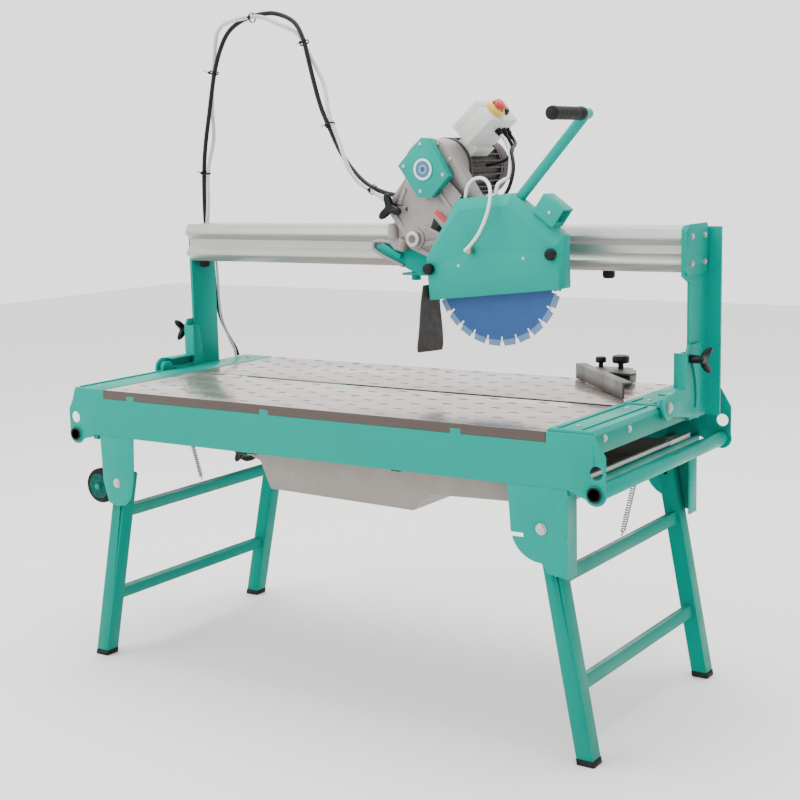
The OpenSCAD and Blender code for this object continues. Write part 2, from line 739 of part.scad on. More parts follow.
// Hand-chosen points along each cable, from where it starts to where it ends.
loop_points = [[-798, 249, 1072.6], [-798, 249, 1084], [-802, 248.5, 1130], [-795, 246, 1231],
    [-782, 240, 1308], [-766, 233, 1376], [-747, 225, 1445], [-713, 208, 1551],
    [-681, 195, 1619], [-643, 187, 1668], [-591, 182, 1694], [-525, 180, 1704],
    [-463, 180, 1700], [-402, 180, 1675], [-368, 178, 1633], [-346, 174, 1585],
    [-322, 168, 1524], [-294, 160, 1455], [-260, 150, 1394], [-224, 140, 1333],
    [-180, 128, 1282], [-128, 116, 1242], [-66, 106, 1218], [-20, 100, 1208],
    [8, 100, 1186], [13, 100, 1163]];
post_points = [[-776, 248, 1065.6], [-774, 250, 1000], [-772, 252, 909], [-771, 262, 854],
    [-762, 280, 802], [-751, 296, 760], [-748, 300, 737.6]];
water_points = [[277, -48.6, 1090], [278, -62, 1091], [292, -72, 1098], [318, -72, 1126],
    [334, -62, 1164], [338, -46, 1206], [326, -26, 1240], [298, -8, 1258], [266, 2, 1256],
    [246, 6, 1238], [240, 6, 1212]];
riser_points = [[262.8, 140, 1362.3], [274, 139, 1349], [298, 122, 1320], [316, 92, 1290],
    [326, 66, 1260], [326, 40, 1252], [324, 16, 1242], [324, 8, 1219.5]];
motor_lead_points = [[262.8, 162, 1362.3], [274, 162, 1349], [284, 161, 1326], [272, 159, 1303],
    [244, 157, 1292], [212, 156, 1287]];
interlock_points = [[262.8, 184, 1362.3], [275, 183, 1348], [292, 160, 1336], [312, 106, 1322],
    [332, 80, 1286], [336, 64, 1256], [330, 54, 1228], [318, 44, 1208], [308, 30, 1198],
    [306, 20, 1196]];

module cable_loop() color(dark) sweep(loop_points, 11, 10);
module post_cable() color(dark) sweep(post_points, 6, 8);
module head_cables() color(dark) {
    for (p = [water_points, riser_points]) sweep(p, 4.5, 8);
    for (p = [motor_lead_points, interlock_points]) sweep(p, 4.5, 8);
}

side_panels();
cross_beams();
carry_tubes();
table_top();
end_decks();
leg_brackets();
wheel_mounts();
frame_bolts();
drip_tray();
tray_walls();
water_pump();
tilt_quadrants();
left_leg_frame();
left_feet();
right_leg_frame();
right_feet();
left_leg_spring();
right_leg_spring();
front_wheel();
rear_wheel();
left_tilt_knob();
right_tilt_knob();
posts();
tilt_feet();
rail_end_plates();
guide_rail();
rail_bumpers();
bridge_bolts();
carriage_frame();
pivot_shaft();
left_roller();
right_roller();
drive_housing();
motor_flange();
hex_cover();
motor_body();
switch_box();
guard_shell();
guard_cover();
splash_flap();
handle_tube();
hand_grip();
drive_belt();
arbor_bearings();
water_fitting();
head_cables();
plunge_knob();
left_guard_knob();
right_guard_knob();
saw_blade();
blade_arbor();
arbor_pulley();
motor_rotor();
motor_pulley();
estop_button();
start_button();
fence_block();
fence_bar();
fence_lock_knob();
fence_swivel_knob();
cable_loop();
post_cable();
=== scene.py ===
"""Wet tile saw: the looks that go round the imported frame, with its floor, lights and camera."""
import json
import math
import bmesh
import bpy
from mathutils import Matrix, Vector
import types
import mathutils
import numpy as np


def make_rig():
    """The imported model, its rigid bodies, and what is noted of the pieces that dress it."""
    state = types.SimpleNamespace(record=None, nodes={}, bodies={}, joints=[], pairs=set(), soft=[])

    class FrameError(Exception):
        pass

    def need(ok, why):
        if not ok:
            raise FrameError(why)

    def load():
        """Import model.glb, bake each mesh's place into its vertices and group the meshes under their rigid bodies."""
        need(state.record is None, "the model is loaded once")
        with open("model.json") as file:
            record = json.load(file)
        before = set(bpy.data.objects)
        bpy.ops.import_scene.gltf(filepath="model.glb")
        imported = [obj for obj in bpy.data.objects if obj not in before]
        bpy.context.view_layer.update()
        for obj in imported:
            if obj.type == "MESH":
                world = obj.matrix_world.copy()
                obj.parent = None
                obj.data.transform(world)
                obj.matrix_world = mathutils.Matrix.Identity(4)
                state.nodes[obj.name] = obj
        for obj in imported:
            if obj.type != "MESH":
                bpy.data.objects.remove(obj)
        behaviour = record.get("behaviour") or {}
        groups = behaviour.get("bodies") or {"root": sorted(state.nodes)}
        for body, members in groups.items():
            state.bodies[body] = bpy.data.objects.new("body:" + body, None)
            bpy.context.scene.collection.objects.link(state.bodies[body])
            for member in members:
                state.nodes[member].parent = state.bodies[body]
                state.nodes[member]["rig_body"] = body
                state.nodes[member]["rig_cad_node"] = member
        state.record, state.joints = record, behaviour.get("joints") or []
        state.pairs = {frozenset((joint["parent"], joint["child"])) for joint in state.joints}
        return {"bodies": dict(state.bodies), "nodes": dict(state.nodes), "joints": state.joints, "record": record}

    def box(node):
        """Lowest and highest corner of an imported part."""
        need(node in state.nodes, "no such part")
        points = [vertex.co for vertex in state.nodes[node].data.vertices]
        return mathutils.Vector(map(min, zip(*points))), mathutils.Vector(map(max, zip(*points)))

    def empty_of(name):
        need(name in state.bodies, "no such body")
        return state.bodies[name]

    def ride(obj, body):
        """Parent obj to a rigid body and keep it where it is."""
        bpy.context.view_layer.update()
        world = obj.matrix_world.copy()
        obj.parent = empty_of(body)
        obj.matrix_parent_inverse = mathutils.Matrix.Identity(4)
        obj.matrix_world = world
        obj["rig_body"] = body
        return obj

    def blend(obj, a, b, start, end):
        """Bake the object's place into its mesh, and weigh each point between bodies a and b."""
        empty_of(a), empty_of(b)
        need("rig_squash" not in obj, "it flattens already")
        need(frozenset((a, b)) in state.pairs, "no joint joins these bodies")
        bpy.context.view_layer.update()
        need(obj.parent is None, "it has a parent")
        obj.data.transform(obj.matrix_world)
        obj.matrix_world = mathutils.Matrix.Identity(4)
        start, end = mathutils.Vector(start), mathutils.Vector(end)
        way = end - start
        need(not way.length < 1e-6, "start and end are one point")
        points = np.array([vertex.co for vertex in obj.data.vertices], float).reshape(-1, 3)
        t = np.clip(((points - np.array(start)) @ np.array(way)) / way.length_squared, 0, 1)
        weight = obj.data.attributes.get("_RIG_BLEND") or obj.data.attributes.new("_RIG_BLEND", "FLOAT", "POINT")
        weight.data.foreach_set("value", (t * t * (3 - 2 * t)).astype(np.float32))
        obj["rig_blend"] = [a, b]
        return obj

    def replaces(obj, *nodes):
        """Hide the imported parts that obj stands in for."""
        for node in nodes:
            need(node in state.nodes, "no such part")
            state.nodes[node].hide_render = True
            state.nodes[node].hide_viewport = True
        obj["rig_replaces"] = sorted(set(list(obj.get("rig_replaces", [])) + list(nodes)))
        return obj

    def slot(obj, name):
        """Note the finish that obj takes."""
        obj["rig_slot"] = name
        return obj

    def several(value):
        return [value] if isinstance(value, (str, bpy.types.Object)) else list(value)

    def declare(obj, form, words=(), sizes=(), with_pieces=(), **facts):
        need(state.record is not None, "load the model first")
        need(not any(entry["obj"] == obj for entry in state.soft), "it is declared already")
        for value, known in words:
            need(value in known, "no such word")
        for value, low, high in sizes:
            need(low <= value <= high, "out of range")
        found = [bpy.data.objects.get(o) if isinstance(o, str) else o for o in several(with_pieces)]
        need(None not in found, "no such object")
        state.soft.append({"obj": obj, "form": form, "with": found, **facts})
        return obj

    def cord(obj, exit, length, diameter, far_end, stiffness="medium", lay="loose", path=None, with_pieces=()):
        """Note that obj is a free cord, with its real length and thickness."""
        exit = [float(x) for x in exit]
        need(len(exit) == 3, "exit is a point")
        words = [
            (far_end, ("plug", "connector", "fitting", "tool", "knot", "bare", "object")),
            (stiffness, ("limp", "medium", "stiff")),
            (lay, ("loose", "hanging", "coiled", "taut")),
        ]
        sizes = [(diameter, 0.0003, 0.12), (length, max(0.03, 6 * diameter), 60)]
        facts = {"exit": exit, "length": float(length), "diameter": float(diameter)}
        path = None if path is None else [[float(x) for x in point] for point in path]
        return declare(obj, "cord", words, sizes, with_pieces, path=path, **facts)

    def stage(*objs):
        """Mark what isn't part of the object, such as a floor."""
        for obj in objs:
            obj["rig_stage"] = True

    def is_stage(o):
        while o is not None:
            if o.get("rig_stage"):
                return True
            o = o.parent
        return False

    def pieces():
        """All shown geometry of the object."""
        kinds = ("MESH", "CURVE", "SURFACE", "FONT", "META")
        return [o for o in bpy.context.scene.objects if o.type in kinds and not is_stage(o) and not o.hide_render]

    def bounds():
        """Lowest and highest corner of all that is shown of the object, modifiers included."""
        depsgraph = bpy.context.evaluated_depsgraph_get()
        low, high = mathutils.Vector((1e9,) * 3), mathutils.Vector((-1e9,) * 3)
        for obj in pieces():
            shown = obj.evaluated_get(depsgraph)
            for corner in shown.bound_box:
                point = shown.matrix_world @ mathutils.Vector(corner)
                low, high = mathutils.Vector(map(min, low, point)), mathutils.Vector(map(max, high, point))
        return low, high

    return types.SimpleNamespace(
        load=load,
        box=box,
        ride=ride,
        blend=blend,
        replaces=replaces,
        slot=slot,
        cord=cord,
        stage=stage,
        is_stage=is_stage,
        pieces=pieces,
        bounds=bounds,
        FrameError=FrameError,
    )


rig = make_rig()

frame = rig.load()
cad_low, cad_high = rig.bounds()
X, Y, Z = Vector((1, 0, 0)), Vector((0, 1, 0)), Vector((0, 0, 1))
MOTOR_X, MOTOR_Z = 0.128, 1.282


def round_angles(count):
    """Equally spaced angles of a full turn."""
    return [2 * math.pi * k / count for k in range(count)]


def by_motor_axis(y, x=0.0, z=0.0):
    """A point at y on the motor's axis, moved aside by x and z."""
    return Vector((MOTOR_X + x, y, MOTOR_Z + z))


def middle_of(node):
    """The middle of a node's bounding box."""
    low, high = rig.box(node)
    return (low + high) / 2


def half_depth(node, axis):
    """Half of a node's bounding box along one axis of the row."""
    low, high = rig.box(node)
    return abs((high - low).dot(axis)) / 2


# ---- camera ----------------------------------------------------------------

def add_camera():
    """The camera stands in front of the bench's right end, a little above the table."""
    turn, rise, roll = math.radians(34.05), math.radians(9.42), math.radians(-1.41)
    back = Vector((math.sin(turn) * math.cos(rise), -math.cos(turn) * math.cos(rise), math.sin(rise)))
    right = Vector((math.cos(turn), math.sin(turn), 0))
    up = back.cross(right)
    tilted_right = right * math.cos(roll) + up * math.sin(roll)
    tilted_up = up * math.cos(roll) - right * math.sin(roll)
    data = bpy.data.cameras.new("camera")
    data.sensor_width = 36
    data.lens = 65.9
    data.clip_end = 50
    camera = bpy.data.objects.new("camera", data)
    turned = Matrix((tilted_right, tilted_up, back)).transposed().to_4x4()
    camera.matrix_world = Matrix.Translation((2.091, -3.0355, 1.313)) @ turned
    bpy.context.scene.collection.objects.link(camera)
    bpy.context.scene.camera = camera


add_camera()


# ---- materials -------------------------------------------------------------

def linear(code):
    """An sRGB colour such as '3fb3a3' as Blender's linear red, green, blue and alpha."""
    parts = [int(code[i:i + 2], 16) / 255 for i in (0, 2, 4)]
    return [p / 12.92 if p <= 0.04045 else ((p + 0.055) / 1.055) ** 2.4 for p in parts] + [1]


def ramp_node(nodes, low, high, out_low=0.0, out_high=1.0):
    """A node that carries low..high over to out_low..out_high."""
    node = nodes.new("ShaderNodeMapRange")
    for end, value in (("From Min", low), ("From Max", high), ("To Min", out_low), ("To Max", out_high)):
        node.inputs[end].default_value = value
    return node


class Surface:
    """A material whose colour, roughness and bump are built up node by node."""

    def __init__(self, name, colour, rough, metal=0.0, **fixed):
        self.material = bpy.data.materials.new(name)
        self.material.use_nodes = True
        self.nodes, self.links = self.material.node_tree.nodes, self.material.node_tree.links
        self.shader = self.nodes["Principled BSDF"]
        self.shader.inputs["Base Color"].default_value = colour
        self.shader.inputs["Roughness"].default_value = rough
        self.shader.inputs["Metallic"].default_value = metal
        for socket, value in fixed.items():
            self.shader.inputs[socket.replace("_", " ")].default_value = value
        self.colour = colour
        self.place = self.nodes.new("ShaderNodeTexCoord").outputs["Object"]
        self.height = None

    def link(self, a, b):
        """Joins an output socket to an input socket."""
        self.links.new(a, b)

    def operate(self, kind, operation, values):
        """The outputs of a math node whose inputs are fixed values or other sockets."""
        node = self.nodes.new(kind)
        node.operation = operation
        for socket, value in zip(node.inputs, values):
            if isinstance(value, (int, float, tuple)):
                socket.default_value = value
            else:
                self.link(value, socket)
        return node.outputs

    def math(self, operation, a, b):
        return self.operate("ShaderNodeMath", operation, (a, b))[0]

    def vectors(self, operation, *values):
        return self.operate("ShaderNodeVectorMath", operation, values)

    def stretched(self, scale):
        """The piece's own coordinates, scaled along each axis."""
        node = self.nodes.new("ShaderNodeMapping")
        node.inputs["Scale"].default_value = scale
        self.link(self.place, node.inputs["Vector"])
        return node.outputs["Vector"]

    def noise(self, size, detail=3.0, stretch=(1, 1, 1), distortion=0.0):
        """Soft noise whose blotches are about size metres across."""
        node = self.nodes.new("ShaderNodeTexNoise")
        node.inputs["Scale"].default_value = 1 / size
        node.inputs["Detail"].default_value = detail
        node.inputs["Distortion"].default_value = distortion
        self.link(self.stretched(stretch), node.inputs["Vector"])
        return node.outputs["Fac"]

    def ramp(self, value, *limits):
        """A value from low..high carried over to 0..1, or to a third and fourth limit."""
        node = ramp_node(self.nodes, *limits)
        self.link(value, node.inputs["Value"])
        return node.outputs["Result"]

    def colour_in(self):
        """The socket that feeds the base colour now, or None while it is a plain colour."""
        socket = self.shader.inputs["Base Color"]
        return socket.links[0].from_socket if socket.is_linked else None

    def tint(self, share, colour):
        """Mixes another colour in, as far as share says."""
        node = self.nodes.new("ShaderNodeMix")
        node.data_type = "RGBA"
        self.link(share, node.inputs["Factor"])
        under = self.colour_in()
        if under is None:
            node.inputs["A"].default_value = self.colour
        else:
            self.link(under, node.inputs["A"])
        node.inputs["B"].default_value = colour
        self.link(node.outputs["Result"], self.shader.inputs["Base Color"])
        return self

    def set_rough(self, value):
        """Lets a socket set the roughness."""
        self.link(value, self.shader.inputs["Roughness"])
        return self

    def bump(self, value, strength, depth):
        """Adds a relief of about depth metres over what is there already."""
        node = self.nodes.new("ShaderNodeBump")
        node.inputs["Strength"].default_value = strength
        node.inputs["Distance"].default_value = depth
        self.link(value, node.inputs["Height"])
        if self.height is not None:
            self.link(self.height, node.inputs["Normal"])
        self.height = node.outputs["Normal"]
        self.link(self.height, self.shader.inputs["Normal"])
        return self

    def worn_edges(self, radius, colour, amount):
        """Lighter, rubbed edges: where the rounded normal turns away from the true one."""
        bevel = self.nodes.new("ShaderNodeBevel")
        bevel.samples = 4
        bevel.inputs["Radius"].default_value = radius
        flat = self.nodes.new("ShaderNodeNewGeometry")
        dot = self.vectors("DOT_PRODUCT", bevel.outputs["Normal"], flat.outputs["Normal"])
        edge = self.ramp(dot["Value"], 0.98, 0.80)
        broken = self.ramp(self.noise(0.012, 6.0), 0.45, 0.65)
        return self.tint(self.math("MULTIPLY", self.math("MULTIPLY", edge, broken), amount), colour)


def darker(colour, share):
    """A colour at a share of its brightness."""
    return [c * share for c in colour[:3]] + [1]


def paint(name, code, rough=0.36, wear=0.5):
    """Powder coat: fine orange peel, faint blotches, dust in the roughness and rubbed edges."""
    colour = linear(code)
    sheen = [c / max(colour[:3]) for c in colour[:3]] + [1]
    s = Surface(name, colour, rough, Specular_IOR_Level=0.14, Specular_Tint=sheen)
    s.tint(s.ramp(s.noise(0.25, 4.0), 0.42, 0.72, 0.0, 0.28), darker(colour, 0.80))
    s.tint(s.ramp(s.noise(0.006, 5.0), 0.62, 0.80, 0.0, 0.18), darker(colour, 0.70))
    s.set_rough(s.ramp(s.noise(0.09, 6.0), 0.3, 0.7, rough - 0.07, rough + 0.12))
    s.bump(s.noise(0.0022, 2.0), 0.12, 0.0004)
    s.worn_edges(0.0016, [0.62, 0.74, 0.71, 1], wear)
    return s.material


def metal(name, code, rough, stretch=(1, 1, 1), grain=0.004, metallic=0.9):
    """Metal with a drawn or ground grain, stains and uneven shine."""
    colour = linear(code)
    s = Surface(name, colour, rough, metallic)
    s.tint(s.ramp(s.noise(grain, 4.0, stretch), 0.35, 0.75, 0.0, 0.35), darker(colour, 0.72))
    s.tint(s.ramp(s.noise(0.16, 5.0), 0.50, 0.72, 0.0, 0.30), darker(colour, 0.78))
    s.set_rough(s.ramp(s.noise(0.05, 5.0, stretch), 0.3, 0.7, rough - 0.06, rough + 0.14))
    s.bump(s.noise(grain, 3.0, stretch), 0.15, 0.0003)
    return s.material


def plastic(name, code, rough, grain=0.0016, strength=0.15, wear=0.25):
    """Moulded plastic or rubber: fine grain, scuffs, slightly greyed edges. Black shines less."""
    colour = linear(code)
    pale = [min(1.0, c * 1.5 + 0.012) for c in colour[:3]] + [1]
    sheen = 0.5 if max(colour[:3]) > 0.05 else 0.22
    s = Surface(name, colour, rough, Specular_IOR_Level=sheen)
    s.tint(s.ramp(s.noise(0.05, 5.0), 0.50, 0.75, 0.0, 0.25), pale)
    s.set_rough(s.ramp(s.noise(0.02, 6.0), 0.3, 0.7, max(0.05, rough - 0.08), rough + 0.12))
    s.bump(s.noise(grain, 3.0), strength, 0.0004)
    s.worn_edges(0.001, pale, wear)
    return s.material


def cast(name, code):
    """Painted sand casting: coarse skin, pits and dirt in the hollows."""
    colour = linear(code)
    s = Surface(name, colour, 0.5, 0.15)
    s.tint(s.ramp(s.noise(0.07, 6.0), 0.48, 0.72, 0.0, 0.35), darker(colour, 0.70))
    s.tint(s.ramp(s.noise(0.004, 6.0), 0.60, 0.78, 0.0, 0.35), darker(colour, 0.55))
    s.set_rough(s.ramp(s.noise(0.03, 5.0), 0.3, 0.7, 0.40, 0.62))
    s.bump(s.noise(0.0032, 6.0), 0.35, 0.0008)
    s.worn_edges(0.0022, [0.72, 0.70, 0.69, 1], 0.55)
    return s.material


def table_steel():
    """Rolled sheet with a warm grey skin, long scratches and dried water stains."""
    colour = linear("b2a49d")
    s = Surface("table_steel", colour, 0.26, 0.78)
    s.tint(s.ramp(s.noise(0.22, 6.0, distortion=0.6), 0.46, 0.70, 0.0, 0.35), linear("a8958f"))
    s.tint(s.ramp(s.noise(0.02, 6.0, (0.12, 1, 1)), 0.55, 0.75, 0.0, 0.35), linear("8f8683"))
    s.tint(s.ramp(s.noise(0.004, 5.0, (0.03, 1, 1)), 0.60, 0.78, 0.0, 0.40), linear("e2dcd8"))
    s.set_rough(s.ramp(s.noise(0.06, 6.0, (0.3, 1, 1)), 0.3, 0.7, 0.13, 0.34))
    s.bump(s.noise(0.003, 4.0, (0.05, 1, 1)), 0.10, 0.0003)
    s.bump(s.noise(0.05, 3.0), 0.06, 0.0010)
    return s.material


def blade_paint():
    """Blue lacquer up to the rim, blue-grey metal on the segments, with turned rings in both."""
    middle = middle_of("blade_arbor")
    lacquer_edge, segment_edge, ring_spacing = 0.1575, 0.1595, 2600.0
    colour = linear("1d4a85")
    s = Surface("blade_paint", colour, 0.36, 0.15, Specular_IOR_Level=0.3)
    offset = s.vectors("SUBTRACT", s.place, (middle.x, 0, middle.z))["Vector"]
    flat = s.vectors("MULTIPLY", offset, (1, 0, 1))["Vector"]
    radius = s.vectors("LENGTH", flat)["Value"]
    rings = s.math("SINE", s.math("MULTIPLY", radius, ring_spacing), 0.0)
    s.tint(s.ramp(s.noise(0.03, 5.0), 0.5, 0.75, 0.0, 0.35), darker(colour, 0.62))
    s.tint(s.ramp(rings, 0.2, 1.0, 0.0, 0.16), linear("7fb0e0"))
    s.tint(s.ramp(radius, lacquer_edge, segment_edge), linear("6484a8"))
    s.bump(rings, 0.10, 0.0002)
    s.bump(s.noise(0.0015, 4.0), 0.15, 0.0003)
    return s.material


def hose_plastic(name, code, clear):
    """Smooth hose wall that lets a share of the light through."""
    colour = linear(code)
    s = Surface(name, colour, 0.22, Transmission_Weight=clear, IOR=1.45)
    s.tint(s.ramp(s.noise(0.03, 4.0), 0.45, 0.7, 0.0, 0.25), darker(colour, 0.85))
    s.bump(s.noise(0.004, 2.0), 0.08, 0.0004)
    return s.material


def coloured_by_bands(name, rows, rough):
    """A disc on the motor's axis: rows are (radius in metres, colour code), from the rim inwards."""
    s = Surface(name, linear(rows[0][1]), rough)
    flat = s.vectors("MULTIPLY", s.place, (1, 0, 1))["Vector"]
    distance = s.vectors("DISTANCE", flat, (MOTOR_X, 0, MOTOR_Z))["Value"]
    soft = 0.0006
    for radius, code in rows[1:]:
        s.tint(s.ramp(distance, radius + soft, radius - soft), linear(code))
    s.bump(s.noise(0.002, 3.0), 0.05, 0.0003)
    return s.material


GREEN = paint("green_paint", "008c7e")
GREEN_GUARD = paint("guard_paint", "0d9487", 0.38, 0.35)
# The same green paint made darker for the parts under the table: painted shade, not a paint of their own.
GREEN_PAINTED_SHADE = paint("green_painted_shade", "007e6f")
TABLE = table_steel()
# The table steel made much darker for the sheet's folded edge: painted shade on its side faces, which belong to the
# same sheet as the top.
TABLE_FOLD_PAINTED_SHADE = metal("table_fold_painted_shade", "4d423c", 0.40, (0.05, 1, 1), 0.003, 0.35)
STEEL = metal("zinc_steel", "b9b9b6", 0.30, metallic=0.85)
SPRING = metal("spring_steel", "8a8883", 0.32, metallic=0.8)
RAIL = metal("rail_aluminium", "b4b4b1", 0.30, (0.02, 1, 1), 0.002, 0.62)
CAST = cast("cast_housing", "928a88")
CAST_DARK = cast("dark_casting", "5f5856")
MOTOR = paint("motor_paint", "4a4443", 0.42, 0.4)
TRAY = plastic("tray_plastic", "867e78", 0.48, 0.003, 0.25, 0.3)
BLACK = plastic("black_plastic", "08080a", 0.36)
RUBBER = plastic("black_rubber", "151414", 0.62, 0.0012, 0.35)
FLAP = plastic("flap_rubber", "403c3a", 0.66, 0.002, 0.4)
CABLE = plastic("cable_sheath", "101012", 0.42, 0.003, 0.2)
BOX_GREY = plastic("box_plastic", "c9c9c6", 0.40, 0.0014, 0.12)
YELLOW = plastic("yellow_plastic", "e0b93f", 0.32)
RED = plastic("red_plastic", "c1272d", 0.25)
GREEN_BUTTON = plastic("green_plastic", "2f9b4f", 0.28)
BRASS = metal("plated_brass", "b8a886", 0.3, metallic=0.85)
BLADE = blade_paint()
FENCE = metal("fence_steel", "5f5c58", 0.40, (1, 1, 0.1), 0.003, 0.6)
WHITE_HOSE = hose_plastic("white_hose", "eceff0", 0.15)
CLEAR_HOSE = hose_plastic("clear_hose", "cfd3d4", 0.35)
# A darker copy of the table steel for the pressed dimples: painted shade in place of the shadow in the dents.
DIMPLE_PAINTED_SHADE = metal("dimple_painted_shade", "6a615e", 0.36, (0.2, 1, 1), 0.003, 0.6)
BADGE = coloured_by_bands("cover_badge", [(0.0262, "dfe6e6"), (0.0205, "2f6f94"), (0.0105, "86a9b8"),
                                          (0.0070, "1d4f70")], 0.3)
TYRE = plastic("tyre_rubber", "0e0e0e", 0.7, 0.002, 0.3)
HUB = paint("hub_paint", "0a4a43", 0.45, 0.3)


# ---- mesh building ---------------------------------------------------------

class Shape:
    """Vertices and faces in the row frame, in metres, that become one piece."""

    def __init__(self):
        self.bm = bmesh.new()

    def loft(self, rings, closed=True, caps=True):
        """Joins rings of equally many points, each ring a list of vectors."""
        made = [[self.bm.verts.new(p) for p in ring] for ring in rings]
        count = len(made[0])
        around = count if closed else count - 1
        for a, b in zip(made, made[1:]):
            for k in range(around):
                self.bm.faces.new((a[k], a[(k + 1) % count], b[(k + 1) % count], b[k]))
        if caps:
            self.bm.faces.new(list(reversed(made[0])))
            self.bm.faces.new(made[-1])
        return self

    def lathe(self, profile, origin, axis, sides=40, hollow=False):
        """Turns (radius, height) points round an axis that starts at origin."""
        turn = axis.to_track_quat("Z", "X").to_matrix()
        rings = [[origin + turn @ Vector((r * math.cos(a), r * math.sin(a), height))
                  for a in round_angles(sides)] for r, height in profile]
        if not hollow:
            return self.loft(rings)
        self.loft(rings + [rings[0]], caps=False)
        bmesh.ops.remove_doubles(self.bm, verts=self.bm.verts, dist=1e-7)
        return self

    def tube(self, path, radius, sides=12):
        """A round tube along a path."""
        return self.loft([[point + radius * (math.cos(a) * side + math.sin(a) * other)
                           for a in round_angles(sides)] for point, side, other in across(path)])

    def plate(self, outline, place, thick, round_off):
        """An outline in two directions, raised along the third of place and rounded at its rims."""
        corners = [Vector(p) for p in outline]
        rings = []
        for height, inset in rounded_rim(thick, round_off):
            drawn = inset_outline(corners, inset)
            rings.append([place @ Vector((p.x, p.y, height)) for p in drawn])
        return self.loft(rings)

    def block(self, low, high, round_off=0.002, place=None):
        """A box between two corners with rounded upright and flat edges."""
        made = bmesh.ops.create_cube(self.bm, size=1)["verts"]
        for v in made:
            v.co = Vector([a + (c + 0.5) * (b - a) for a, b, c in zip(low, high, v.co)])
        edges = list({e for v in made for e in v.link_edges})
        result = bmesh.ops.bevel(self.bm, geom=edges, offset=round_off, segments=3, profile=0.5,
                                 affect="EDGES", clamp_overlap=True)
        if place is not None:
            joined = {v for f in result["faces"] for v in f.verts} | {v for v in made if v.is_valid}
            for v in joined:
                v.co = place @ v.co
        return self

    def finish(self, name, material, body, replaces=(), slot=None, smooth=32.0):
        """Makes the piece; edges flatter than smooth degrees are shaded smooth."""
        mesh = bpy.data.meshes.new(name)
        bmesh.ops.recalc_face_normals(self.bm, faces=self.bm.faces)
        self.bm.to_mesh(mesh)
        self.bm.free()
        mesh.shade_smooth()
        mesh.set_sharp_from_angle(angle=math.radians(smooth))
        mesh.materials.append(material)
        piece = bpy.data.objects.new(name, mesh)
        bpy.context.scene.collection.objects.link(piece)
        if body:
            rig.ride(piece, body)
        if replaces:
            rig.replaces(piece, *replaces)
        if slot:
            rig.slot(piece, slot)
        return piece


def rounded_rim(thick, round_off):
    """Heights and insets of the rings that round both rims of a plate."""
    steps = 3
    rows = sorted(((round_off * (1 - math.cos(math.pi / 2 * k / steps)),
                    round_off * (1 - math.sin(math.pi / 2 * k / steps))) for k in range(steps + 1)))
    return rows + [(thick - h, i) for h, i in reversed(rows)]


def inset_outline(corners, inset):
    """The outline drawn in by inset, each corner along its own bisector."""
    area = sum(a.x * b.y - b.x * a.y for a, b in zip(corners, corners[1:] + corners[:1]))
    sign = 1 if area > 0 else -1
    moved = []
    for i, p in enumerate(corners):
        before = (p - corners[i - 1]).normalized()
        after = (corners[(i + 1) % len(corners)] - p).normalized()
        left = Vector((-before.y, before.x)) + Vector((-after.y, after.x))
        if left.length < 1e-6:
            moved.append(p.copy())
            continue
        left.normalize()
        lean = max(0.5, left.dot(Vector((-before.y, before.x))))
        moved.append(p + sign * left * (inset / lean))
    return moved


def axes(origin, right, up, out):
    """A matrix whose columns are three directions, placed at origin."""
    turned = Matrix((right, up, out)).transposed().to_4x4()
    return Matrix.Translation(origin) @ turned


def smooth_path(points, steps=8):
    """A smooth curve through given points; steps is the number of points in each span."""
    p = [Vector(q) for q in points]
    made = []
    for i in range(len(p) - 1):
        a, b, c, d = p[max(i - 1, 0)], p[i], p[i + 1], p[min(i + 2, len(p) - 1)]
        for k in range(steps):
            t = k / steps
            made.append(0.5 * (2 * b + (c - a) * t + (2 * a - 5 * b + 4 * c - d) * t * t
                               + (3 * b - a - 3 * c + d) * t ** 3))
    return made + [p[-1]]


def leaning(at, x, z):
    """The frame at a point whose first direction is (x, 0, z) and whose second is Y."""
    return axes(Vector(at), Vector((x, 0, z)), Y, Vector((-z, 0, x)))


def path_length(path):
    """The length of a path in metres."""
    return sum((b - a).length for a, b in zip(path, path[1:]))


def across(path):
    """Each point of a path, with two directions across it that never spin round it."""
    side = (path[1] - path[0]).normalized().orthogonal().normalized()
    for i, point in enumerate(path):
        ahead = (path[min(i + 1, len(path) - 1)] - path[max(i - 1, 0)]).normalized()
        side = (side - ahead * side.dot(ahead)).normalized()
        yield point, side, ahead.cross(side)


def strand(path, offset, turns, start_angle, slack=0.0):
    """A path wound round another, loose by slack between the ties and never above LOOP_TOP."""
    made = []
    for i, (point, side, other) in enumerate(across(path)):
        share = i / (len(path) - 1)
        a = start_angle + 2 * math.pi * turns * share
        away = offset + slack * math.sin(math.pi * TIE_SPANS * share) ** 2
        made.append(point + away * (math.cos(a) * side + math.sin(a) * other))
        made[-1].z = min(made[-1].z, LOOP_TOP)
    return made


# ---- cables and hoses ------------------------------------------------------

LOOP = [(-0.798, 0.249, 1.0726), (-0.798, 0.249, 1.084), (-0.802, 0.2485, 1.130), (-0.795, 0.246, 1.231),
        (-0.782, 0.240, 1.308), (-0.766, 0.233, 1.376), (-0.747, 0.225, 1.445), (-0.713, 0.208, 1.551),
        (-0.681, 0.195, 1.619), (-0.643, 0.187, 1.668), (-0.591, 0.182, 1.694), (-0.525, 0.180, 1.704),
        (-0.463, 0.180, 1.700), (-0.402, 0.180, 1.675), (-0.368, 0.178, 1.633), (-0.346, 0.174, 1.585),
        (-0.322, 0.168, 1.524), (-0.294, 0.160, 1.455), (-0.260, 0.150, 1.394), (-0.224, 0.140, 1.333),
        (-0.180, 0.128, 1.282), (-0.128, 0.116, 1.242), (-0.066, 0.106, 1.218), (-0.020, 0.100, 1.208),
        (0.008, 0.100, 1.186), (0.013, 0.100, 1.163)]
POST_RUN = [(-0.776, 0.248, 1.0656), (-0.774, 0.250, 1.000), (-0.772, 0.252, 0.909), (-0.771, 0.262, 0.854),
            (-0.762, 0.280, 0.802), (-0.751, 0.296, 0.760), (-0.748, 0.300, 0.7376)]
